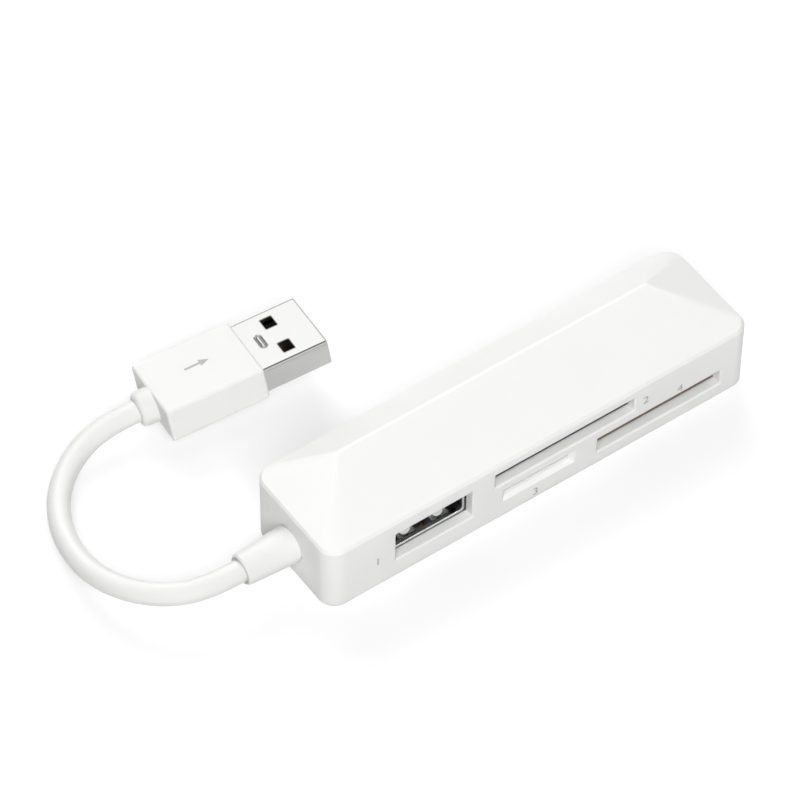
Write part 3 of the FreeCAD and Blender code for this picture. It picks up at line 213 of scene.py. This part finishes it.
class StageSettings(bpy.types.PropertyGroup):
    """Floor, light and camera."""

    floor: colour_prop("Floor", "Colour of the floor", "bebebe")
    floor_lift: share_prop("Floor lift", "Light added to the floor where it is seen", 0.51)
    sky: bpy.props.FloatProperty(name="Sky", description="Strength of the even light", default=0.06, min=0.0)
    front: power_prop("Front box", "Power of the soft box beside the camera", 8.95)
    back: power_prop("Back box", "Power of the soft box behind the object", 4.3)
    top: power_prop("Top box", "Power of the soft box high over the back", 1.9)
    glint: power_prop("Glint box", "Power of the soft box that the plug's steel mirrors", 1.07)
    edge: power_prop("Edge box", "Power of the small soft box that the port's lip and springs mirror", 0.17)
    azimuth: angle_prop("Azimuth", "Camera's turn round the object", 35.853)
    elevation: angle_prop("Elevation", "Camera's height above the horizon", 50.455)
    roll: angle_prop("Roll", "Camera's turn about its own view", 0.603)
    distance: length_prop("Distance", "From the camera to the plane through the origin", 710.35 * MM)
    aim_right: shift_prop("Aim right", "Shift of the aim to the right of the origin", -15.25 * MM)
    aim_up: shift_prop("Aim up", "Shift of the aim above the origin", 7.451 * MM)
    lens: bpy.props.FloatProperty(
        name="Lens", description="Focal length on a 36 mm sensor", default=216.66, min=1.0, unit="CAMERA"
    )


def add(tree, kind, settings=None, *sources, **links):
    """Adds a node, sets its attributes or sockets, and links sources to its sockets, in order or by name."""
    node = tree.nodes.new(kind)
    for key, value in (settings or {}).items():
        if key in node.inputs:
            node.inputs[key].default_value = value
        else:
            setattr(node, key, value)
    for place, source in enumerate(sources):
        tree.links.new(source, node.inputs[place])
    for socket, source in links.items():
        tree.links.new(source, node.inputs[socket.replace("_", " ")])
    return node


def new_material(name):
    """An empty node material with its output; returns the material, its tree and the output node."""
    material = bpy.data.materials.new(name)
    material.use_nodes = True
    tree = material.node_tree
    tree.nodes.clear()
    return material, tree, add(tree, "ShaderNodeOutputMaterial")


def two_tones(tree, pattern, low, high):
    """Colour that goes from one tone to another with a pattern."""
    ramp = add(tree, "ShaderNodeValToRGB", {}, Fac=pattern)
    ramp.color_ramp.elements[0].color = rgba(low)
    ramp.color_ramp.elements[1].color = rgba(high)
    return ramp.outputs["Color"]


def moulded_plastic(
    name, tone, patch_tone, roughness, ior, grain_mm, grain_depth_mm, edge_mm, glow=0.0, glow_mm=1.0
):
    """A moulded plastic: faint patches of tone and shine, a fine grain from the mould, softened edges and,
    as glow, the share of light that travels through the plastic before it leaves it, and how far."""
    # A mould's real grain is near 0.05 mm and wouldn't show, so each plastic draws it several times coarser
    patch_mm = 14.0
    shine_spread = 0.05
    material, tree, output = new_material(name)
    place = add(tree, "ShaderNodeTexCoord").outputs["Object"]
    patches = add(tree, "ShaderNodeTexNoise", {"Scale": per_metre(patch_mm), "Detail": 2.0}, Vector=place)
    grain = add(tree, "ShaderNodeTexNoise", {"Scale": per_metre(grain_mm), "Detail": 3.0}, Vector=place)
    satin = add(
        tree, "ShaderNodeMapRange", {"To Min": roughness - shine_spread, "To Max": roughness + shine_spread},
        Value=patches.outputs["Fac"],
    )
    soft_edge = add(tree, "ShaderNodeBevel", {"Radius": edge_mm * MM, "samples": 4})
    bump = add(
        tree, "ShaderNodeBump", {"Strength": 1.0, "Distance": grain_depth_mm * MM},
        Height=grain.outputs["Fac"], Normal=soft_edge.outputs["Normal"],
    )
    shader = add(
        tree, "ShaderNodeBsdfPrincipled",
        {
            "IOR": ior, "Subsurface Weight": glow, "Subsurface Radius": (1.0, 1.0, 1.0),
            "Subsurface Scale": glow_mm * MM,
        },
        Base_Color=two_tones(tree, patches.outputs["Fac"], tone, patch_tone),
        Roughness=satin.outputs["Result"], Normal=bump.outputs["Normal"],
    )
    tree.links.new(shader.outputs["BSDF"], output.inputs["Surface"])
    return material


def white_abs(finish):
    # White ABS from a lightly sparked mould: satin, with a broad soft highlight and hardly any grain at
    # arm's length.
    return moulded_plastic(
        "White ABS, satin moulding", finish.abs_white, finish.abs_shade, finish.abs_roughness,
        ior=1.53, grain_mm=0.3, grain_depth_mm=0.0015, edge_mm=0.18, glow=0.35, glow_mm=1.2,
    )


def moulded_pvc(cable):
    # Soft white PVC moulded over the cable's ends: duller than the housing, softer at its edges and a little
    # milky, so that its shaded sides stay pale.
    return moulded_plastic(
        "White PVC, moulded over", cable.pvc_white, cable.pvc_shade, cable.pvc_roughness,
        ior=1.54, grain_mm=0.4, grain_depth_mm=0.002, edge_mm=0.2, glow=0.4, glow_mm=0.9,
    )


def extruded_pvc(cable):
    # White PVC extruded as a jacket, with chalk in it: smooth along the cable, and it lets little light
    # through.
    return moulded_plastic(
        "White PVC, extruded", cable.jacket_white, cable.pvc_shade, cable.jacket_roughness,
        ior=1.54, grain_mm=0.6, grain_depth_mm=0.002, edge_mm=0.2, glow=0.05, glow_mm=0.6,
    )


def filled_nylon(name, colour):
    # Glass-filled nylon: dull, with a fine moulded grain and paler patches where glass lies near its face.
    return moulded_plastic(
        name, colour, brighter(colour, times=1.6), roughness=0.45,
        ior=1.53, grain_mm=0.25, grain_depth_mm=0.002, edge_mm=0.05,
    )


def tan_resin(finish):
    # Heat-proof liquid-crystal resin in its own tan: matt, a little lighter where the flow lines run.
    return moulded_plastic(
        "Tan connector resin", finish.resin_tan, brighter(finish.resin_tan, times=1.15), roughness=0.5,
        ior=1.6, grain_mm=0.3, grain_depth_mm=0.002, edge_mm=0.05,
    )


def plated_steel(finish):
    """Nickel-plated sheet steel, rolled then plated: bright, with fine rolling lines along the sheet and
    edges rounded by the fold."""
    # Real rolling lines lie near 0.01 mm apart; they are drawn at 0.12 mm so that they show at all
    line_mm = (3.0, 0.12, 0.12)
    line_depth_mm = 0.004
    cloud_mm = 4.0
    smoother = 0.06
    rougher = 0.08
    fold_mm = 0.3
    material, tree, output = new_material("Nickel-plated steel")
    place = add(tree, "ShaderNodeTexCoord").outputs["Object"]
    scale = tuple(per_metre(size) for size in line_mm)
    stretch = add(tree, "ShaderNodeMapping", {"Scale": scale}, Vector=place)
    lines = add(tree, "ShaderNodeTexNoise", {"Scale": 1.0, "Detail": 3.0}, Vector=stretch.outputs["Vector"])
    clouds = add(tree, "ShaderNodeTexNoise", {"Scale": per_metre(cloud_mm), "Detail": 2.0}, Vector=place)
    sheen = add(
        tree, "ShaderNodeMapRange",
        {"To Min": finish.steel_roughness - smoother, "To Max": finish.steel_roughness + rougher},
        Value=clouds.outputs["Fac"],
    )
    soft_edge = add(tree, "ShaderNodeBevel", {"Radius": fold_mm * MM, "samples": 8})
    bump = add(
        tree, "ShaderNodeBump", {"Strength": 0.5, "Distance": line_depth_mm * MM},
        Height=lines.outputs["Fac"], Normal=soft_edge.outputs["Normal"],
    )
    shader = add(
        tree, "ShaderNodeBsdfPrincipled", {"Base Color": rgba(finish.steel), "Metallic": 1.0},
        Roughness=sheen.outputs["Result"], Normal=bump.outputs["Normal"],
    )
    tree.links.new(shader.outputs["BSDF"], output.inputs["Surface"])
    return material


def plated_contact(finish):
    """Gold-plated brass, stamped: a warm polished metal with faint wear in its shine."""
    wear_mm = 0.8
    material, tree, output = new_material("Gold-plated brass")
    place = add(tree, "ShaderNodeTexCoord").outputs["Object"]
    clouds = add(tree, "ShaderNodeTexNoise", {"Scale": per_metre(wear_mm), "Detail": 2.0}, Vector=place)
    sheen = add(tree, "ShaderNodeMapRange", {"To Min": 0.15, "To Max": 0.32}, Value=clouds.outputs["Fac"])
    shader = add(
        tree, "ShaderNodeBsdfPrincipled", {"Base Color": rgba(finish.gold), "Metallic": 1.0},
        Roughness=sheen.outputs["Result"],
    )
    tree.links.new(shader.outputs["BSDF"], output.inputs["Surface"])
    return material


def solder_mask(finish):
    """Glass-fibre board under green solder mask: glossy, with lighter lines where copper tracks run."""
    # The joints of a brick pattern are the tracks, drawn broader than real ones so that they show. The
    # pattern counts in units of unit_mm, and half a track lies on each side of a joint.
    unit_mm = 4.0
    track_mm = 0.48
    pitch_mm = 1.4
    crossing_mm = 6.4
    track_height_mm = 0.03
    mask = rgba(finish.board)
    material, tree, output = new_material("Solder mask on laminate")
    place = add(tree, "ShaderNodeTexCoord").outputs["Object"]
    tracks = add(
        tree, "ShaderNodeTexBrick",
        {
            "Color1": mask, "Color2": mask, "Mortar": rgba(finish.board_track), "Scale": per_metre(unit_mm),
            "Mortar Size": track_mm / 2 / unit_mm, "Brick Width": crossing_mm / unit_mm,
            "Row Height": pitch_mm / unit_mm,
        },
        Vector=place,
    )
    bump = add(
        tree, "ShaderNodeBump", {"Strength": 0.4, "Distance": track_height_mm * MM},
        Height=tracks.outputs["Fac"],
    )
    shader = add(
        tree, "ShaderNodeBsdfPrincipled", {"Roughness": 0.28, "IOR": 1.5},
        Base_Color=tracks.outputs["Color"], Normal=bump.outputs["Normal"],
    )
    tree.links.new(shader.outputs["BSDF"], output.inputs["Surface"])
    return material


def speckled(name, hex_light, hex_dark, roughness, speck_mm, metallic=0.0):
    """A small part's body with a speckle that also stands out a little, drawn coarser than the real one
    so that it shows."""
    speck_height_mm = 0.01
    material, tree, output = new_material(name)
    place = add(tree, "ShaderNodeTexCoord").outputs["Object"]
    specks = add(tree, "ShaderNodeTexNoise", {"Scale": per_metre(speck_mm), "Detail": 3.0}, Vector=place)
    bump = add(
        tree, "ShaderNodeBump", {"Strength": 0.3, "Distance": speck_height_mm * MM},
        Height=specks.outputs["Fac"],
    )
    shader = add(
        tree, "ShaderNodeBsdfPrincipled", {"Roughness": roughness, "Metallic": metallic},
        Base_Color=two_tones(tree, specks.outputs["Fac"], linear(hex_dark), linear(hex_light)),
        Normal=bump.outputs["Normal"],
    )
    tree.links.new(shader.outputs["BSDF"], output.inputs["Surface"])
    return material


def black_epoxy():
    # Epoxy moulded round a chip: matt black, with fine specks of its filler.
    return speckled("Black epoxy", "2a2b2d", "1a1b1c", roughness=0.5, speck_mm=0.1)


def drawn_can():
    # Thin sheet drawn to a can: satin metal, slightly clouded.
    return speckled("Drawn metal can", "b9b9b6", "9c9c9a", roughness=0.35, speck_mm=0.2, metallic=1.0)


def tan_ceramic():
    # Fired ceramic: a dull tan with fine specks.
    return speckled("Tan ceramic", "b08d62", "977650", roughness=0.4, speck_mm=0.1)


def yellow_epoxy():
    # Epoxy moulded round the supply capacitor: yellow, with a soft shine.
    return speckled("Yellow epoxy", "d2a53c", "b98d2c", roughness=0.45, speck_mm=0.15)


def wire_pvc(wire, hex_light, hex_dark):
    # PVC extruded round a wire: smooth, in the wire's plain colour, with a soft shine.
    return speckled("PVC insulation, " + wire, hex_light, hex_dark, roughness=0.4, speck_mm=0.6)


def printed_ink(marking):
    """Pad-printed grey ink: a thin matt film with slightly uneven cover."""
    cover_mm = 0.25
    material, tree, output = new_material("Pad-printed ink")
    place = add(tree, "ShaderNodeTexCoord").outputs["Object"]
    cover = add(tree, "ShaderNodeTexNoise", {"Scale": per_metre(cover_mm), "Detail": 2.0}, Vector=place)
    shader = add(
        tree, "ShaderNodeBsdfPrincipled", {"Roughness": 0.55, "IOR": 1.5},
        Base_Color=two_tones(tree, cover.outputs["Fac"], marking.ink, brighter(marking.ink, times=1.25)),
    )
    tree.links.new(shader.outputs["BSDF"], output.inputs["Surface"])
    return material


def dress(node_names, material):
    """Gives CAD nodes a finish."""
    for name in node_names:
        slots = NODES[name].data.materials
        slots.clear()
        slots.append(material)


class READER_OT_housing(bpy.types.Operator):
    """Finish the two housing mouldings"""

    bl_idname = "reader.housing"
    bl_label = "Housing"

    def execute(self, context):
        dress(("top_shell", "bottom_cover"), white_abs(context.scene.reader_finish))
        return {"FINISHED"}


class READER_OT_sockets(bpy.types.Operator):
    """Finish the USB port, the card sockets and the plug's sleeve, insulator and contacts"""

    bl_idname = "reader.sockets"
    bl_label = "Port, sockets and plug"

    def execute(self, context):
        finish = context.scene.reader_finish
        dress(
            ("usb_port_shell", "upper_socket_cover", "small_socket_cover", "plug_shell"),
            plated_steel(finish),
        )
        dress(
            ("upper_socket_frame", "small_socket_frame", "plug_block"),
            filled_nylon("Black nylon", finish.nylon),
        )
        dress(("usb_port_tongue",), filled_nylon("Grey nylon", finish.tongue))
        dress(("stick_socket_frame",), tan_resin(finish))
        dress(
            (
                "usb_port_contacts", "upper_socket_contacts", "small_socket_contacts",
                "stick_socket_contacts", "plug_contacts",
            ),
            plated_contact(finish),
        )
        return {"FINISHED"}


class READER_OT_board(bpy.types.Operator):
    """Finish the circuit board, its parts and the wires"""

    bl_idname = "reader.board"
    bl_label = "Board"

    def execute(self, context):
        dress(("main_board",), solder_mask(context.scene.reader_finish))
        dress(("reader_controller", "hub_controller", "resistors"), black_epoxy())
        dress(("crystal",), drawn_can())
        dress(("capacitors",), tan_ceramic())
        dress(("bulk_capacitor",), yellow_epoxy())
        for wire, light, dark in (
            ("wire_red", "b03028", "9a2822"),
            ("wire_white", "ececea", "dededc"),
            ("wire_green", "2c7a44", "24683a"),
            ("wire_black", "242424", "1c1c1c"),
        ):
            dress((wire,), wire_pvc(wire, light, dark))
        return {"FINISHED"}


def plug_matrix():
    """Placement of the plug's own frame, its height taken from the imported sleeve."""
    turn = (
        Matrix.Rotation(math.radians(PLUG_YAW), 4, "Z")
        @ Matrix.Rotation(math.radians(-PLUG_NOSE_UP), 4, "Y")
        @ Matrix.Rotation(math.radians(PLUG_ROLL), 4, "X")
    )
    low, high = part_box("plug_shell")
    reach = (SLEEVE_REACH - SLEEVE_ROOT) / 2 * MM
    middle = (low[2] + high[2]) / 2 - (turn @ Vector((reach, 0, 0))).z
    return Matrix.Translation((PLUG_ORIGIN[0] * MM, PLUG_ORIGIN[1] * MM, middle)) @ turn


def plug_point(x, y, z):
    """A point in the plug's own frame, given in millimetres, as a place in the row frame."""
    return plug_matrix() @ (Vector((x, y, z)) * MM)


class READER_OT_cable(bpy.types.Operator):
    """Lay the cable and finish it with its strain relief and the plug's grip"""

    bl_idname = "reader.cable"
    bl_label = "Cable"

    def execute(self, context):
        cable = context.scene.reader_cable
        dress(("cable_boot", "plug_grip"), moulded_pvc(cable))
        neck = plug_point(NECK_END, 0.0, 0.0)
        lead = plug_point(NECK_END - CABLE_LEAD, 0.0, 0.0)
        points = [Vector(point) * MM for point in (CABLE_START, *CABLE_ROUTE)] + [lead, neck]
        curve = bpy.data.curves.new("cable", "CURVE")
        curve.dimensions = "3D"
        curve.bevel_depth = cable.diameter / 2
        curve.bevel_resolution = 8
        curve.resolution_u = 16
        curve.use_fill_caps = True
        spline = curve.splines.new("NURBS")
        spline.points.add(len(points) - 1)
        for control, point in zip(spline.points, points):
            control.co = (*point, 1.0)
        spline.order_u = 3
        spline.use_endpoint_u = True
        curve.materials.append(extruded_pvc(cable))
        piece = bpy.data.objects.new("cable", curve)
        context.scene.collection.objects.link(piece)
        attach(piece, "root")
        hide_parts("cable_jacket")
        return {"FINISHED"}


def numeral_mesh(number, height, film):
    """A numeral of a given height, as thick as the film and centred on it."""
    text = bpy.data.curves.new("numeral", "FONT")
    text.body = str(number)
    text.size = height / DIGIT_SHARE
    text.align_x = "CENTER"
    text.align_y = "CENTER"
    text.extrude = film / 2
    holder = bpy.data.objects.new("numeral", text)
    mesh = bpy.data.meshes.new_from_object(holder)
    bpy.data.objects.remove(holder)
    return mesh


def arrow_mesh(length, width, stroke, film):
    """A plain arrow along X, centred, as thick as the film."""
    tip = length / 2
    neck = tip - width
    outline = [
        (-tip, -stroke / 2), (neck, -stroke / 2), (neck, -width / 2), (tip, 0.0),
        (neck, width / 2), (neck, stroke / 2), (-tip, stroke / 2),
    ]
    count = len(outline)
    points = [(x, y, z) for z in (-film / 2, film / 2) for x, y in outline]
    faces = [tuple(reversed(range(count))), tuple(range(count, 2 * count))]
    for index in range(count):
        following = (index + 1) % count
        faces.append((index, following, following + count, index + count))
    mesh = bpy.data.meshes.new("arrow")
    mesh.from_pydata(points, [], faces)
    return mesh


def printed_mark(context, name, mesh, ink, place):
    """Puts a flat mark, drawn in its own X and Y, on a face of the part as a thin film of ink."""
    mesh.transform(place)
    mesh.materials.clear()
    mesh.materials.append(ink)
    piece = bpy.data.objects.new(name, mesh)
    context.scene.collection.objects.link(piece)
    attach(piece, "root")


class READER_OT_markings(bpy.types.Operator):
    """Print a plain numeral by each opening and a plain arrow on the plug"""

    bl_idname = "reader.markings"
    bl_label = "Markings"

    def execute(self, context):
        marking = context.scene.reader_marking
        ink = printed_ink(marking)
        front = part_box("top_shell")[0][1]
        upright = Matrix.Rotation(math.pi / 2, 4, "X")
        for number, x, z in NUMERALS:
            mesh = numeral_mesh(number, marking.height, marking.film)
            place = Matrix.Translation((x * MM, front - marking.film / 2, z * MM)) @ upright
            printed_mark(context, "numeral_%d" % number, mesh, ink, place)
        arrow = arrow_mesh(marking.arrow_length, marking.arrow_width, marking.arrow_stroke, marking.film)
        on_grip = Matrix.Translation((ARROW_X * MM, ARROW_Y * MM, GRIP_TOP * MM + marking.film / 2))
        printed_mark(context, "plug_arrow", arrow, ink, plug_matrix() @ on_grip)
        return {"FINISHED"}


def seen_ray(tree):
    """1 for what the camera sees, straight or in metal or glass, and 0 for light that falls on things."""
    path = add(tree, "ShaderNodeLightPath").outputs
    larger = {"operation": "MAXIMUM"}
    straight = add(tree, "ShaderNodeMath", larger, path["Is Camera Ray"], path["Is Glossy Ray"])
    seen = add(tree, "ShaderNodeMath", larger, straight.outputs["Value"], path["Is Transmission Ray"])
    return seen.outputs["Value"]


def add_floor(context, stage):
    """A wide pale floor that goes white where it is seen lit and keeps the object's shadow."""
    corners = [
        (x * FLOOR_REACH, y * FLOOR_REACH, 0.0) for x, y in ((-1, -1), (1, -1), (1, 1), (-1, 1))
    ]
    mesh = bpy.data.meshes.new("floor")
    mesh.from_pydata(corners, [], [(0, 1, 2, 3)])
    material, tree, output = new_material("Pale floor")
    matt = add(tree, "ShaderNodeBsdfDiffuse", {"Color": rgba(stage.floor)})
    strength = add(tree, "ShaderNodeMath", {"operation": "MULTIPLY"}, seen_ray(tree))
    strength.inputs[1].default_value = stage.floor_lift
    lift = add(tree, "ShaderNodeEmission", {"Color": WHITE}, Strength=strength.outputs["Value"])
    both = add(tree, "ShaderNodeAddShader", {}, matt.outputs["BSDF"], lift.outputs["Emission"])
    tree.links.new(both.outputs["Shader"], output.inputs["Surface"])
    mesh.materials.append(material)
    floor = bpy.data.objects.new("floor", mesh)
    context.scene.collection.objects.link(floor)


def mirrored_room(tree):
    """The level of the room in each direction that metal mirrors: the darkest of its shades there."""
    direction = add(tree, "ShaderNodeTexCoord").outputs["Generated"]
    levels = []
    for shade in ROOM_SHADES:
        agreement = add(tree, "ShaderNodeVectorMath", {"operation": "DOT_PRODUCT"}, direction)
        agreement.inputs[1].default_value = shade["toward"]
        limits = {
            "From Min": shade["start"], "From Max": shade["end"],
            "To Min": shade["first"], "To Max": shade["last"],
        }
        level = add(tree, "ShaderNodeMapRange", limits, Value=agreement.outputs["Value"])
        levels.append(level.outputs["Result"])
    return add(tree, "ShaderNodeMath", {"operation": "MINIMUM"}, *levels).outputs["Value"]


def add_world(context, stage):
    """Even light all round; metal mirrors a shaded room, and the camera sees plain white."""
    world = bpy.data.worlds.new("Soft white room")
    world.use_nodes = True
    tree = world.node_tree
    tree.nodes.clear()
    output = add(tree, "ShaderNodeOutputWorld")
    sky = add(tree, "ShaderNodeBackground", {"Color": WHITE, "Strength": stage.sky})
    room = add(tree, "ShaderNodeBackground", {"Color": WHITE}, Strength=mirrored_room(tree))
    white = add(tree, "ShaderNodeBackground", {"Color": WHITE, "Strength": 1.0})
    lit = add(
        tree, "ShaderNodeMixShader", {},
        seen_ray(tree), sky.outputs["Background"], room.outputs["Background"],
    )
    camera_ray = add(tree, "ShaderNodeLightPath").outputs["Is Camera Ray"]
    shown = add(
        tree, "ShaderNodeMixShader", {},
        camera_ray, lit.outputs["Shader"], white.outputs["Background"],
    )
    tree.links.new(shown.outputs["Shader"], output.inputs["Surface"])
    context.scene.world = world


def add_soft_box(context, name, power, size, place, in_metal):
    """A square soft box that faces the object; in_metal says whether metal mirrors it."""
    lamp = bpy.data.lights.new(name, "AREA")
    lamp.shape = "SQUARE"
    lamp.size = size
    lamp.energy = power
    holder = bpy.data.objects.new(name, lamp)
    holder.location = place
    holder.rotation_euler = (-Vector(place)).to_track_quat("-Z", "Y").to_euler()
    holder.visible_camera = False
    holder.visible_glossy = in_metal
    context.scene.collection.objects.link(holder)


def add_camera(context, stage):
    """The photograph's viewpoint."""
    azimuth, elevation, roll = stage.azimuth, stage.elevation, stage.roll
    back = Vector((
        -math.sin(azimuth) * math.cos(elevation),
        -math.cos(azimuth) * math.cos(elevation),
        math.sin(elevation),
    ))
    level = Vector((math.cos(azimuth), -math.sin(azimuth), 0.0))
    upright = back.cross(level)
    right = level * math.cos(roll) + upright * math.sin(roll)
    up = upright * math.cos(roll) - level * math.sin(roll)
    place = right * stage.aim_right + up * stage.aim_up + back * stage.distance
    camera = bpy.data.cameras.new("camera")
    camera.sensor_width = SENSOR_WIDTH
    camera.lens = stage.lens
    camera.clip_start = CLIP_NEAR
    camera.clip_end = CLIP_FAR
    holder = bpy.data.objects.new("camera", camera)
    holder.matrix_world = Matrix.Translation(place) @ Matrix((right, up, back)).transposed().to_4x4()
    context.scene.collection.objects.link(holder)
    context.scene.camera = holder


class READER_OT_stage(bpy.types.Operator):
    """Add the floor, the light and the camera"""

    bl_idname = "reader.stage"
    bl_label = "Stage"

    def execute(self, context):
        stage = context.scene.reader_stage
        add_floor(context, stage)
        add_world(context, stage)
        for name, size, place, in_metal in SOFT_BOXES:
            add_soft_box(context, name + " box", getattr(stage, name), size, place, in_metal)
        add_camera(context, stage)
        context.scene.view_settings.view_transform = "Standard"
        return {"FINISHED"}


class READER_PT_panel(bpy.types.Panel):
    """Lists the steps that dress the card reader"""

    bl_label = "Card Reader"
    bl_idname = "READER_PT_panel"
    bl_space_type = "VIEW_3D"
    bl_region_type = "UI"
    bl_category = "Card Reader"

    def draw(self, context):
        for operator in OPERATORS:
            self.layout.operator(operator.bl_idname)
        for group in GROUPS:
            settings = getattr(context.scene, group)
            column = self.layout.column()
            for name in settings.__annotations__:
                column.prop(settings, name)


GROUPS = {
    "reader_finish": ReaderFinish,
    "reader_cable": CableFinish,
    "reader_marking": MarkingFinish,
    "reader_stage": StageSettings,
}
OPERATORS = (
    READER_OT_housing,
    READER_OT_sockets,
    READER_OT_board,
    READER_OT_cable,
    READER_OT_markings,
    READER_OT_stage,
)


def register():
    for name, group in GROUPS.items():
        bpy.utils.register_class(group)
        setattr(bpy.types.Scene, name, bpy.props.PointerProperty(type=group))
    for operator in OPERATORS:
        bpy.utils.register_class(operator)
    bpy.utils.register_class(READER_PT_panel)


def unregister():
    bpy.utils.unregister_class(READER_PT_panel)
    for operator in reversed(OPERATORS):
        bpy.utils.unregister_class(operator)
    for name, group in reversed(list(GROUPS.items())):
        delattr(bpy.types.Scene, name)
        bpy.utils.unregister_class(group)


def main():
    register()
    bpy.ops.reader.housing()
    bpy.ops.reader.sockets()
    bpy.ops.reader.board()
    bpy.ops.reader.cable()
    bpy.ops.reader.markings()
    bpy.ops.reader.stage()
    bpy.context.view_layer.update()


if __name__ == "__main__":
    main()
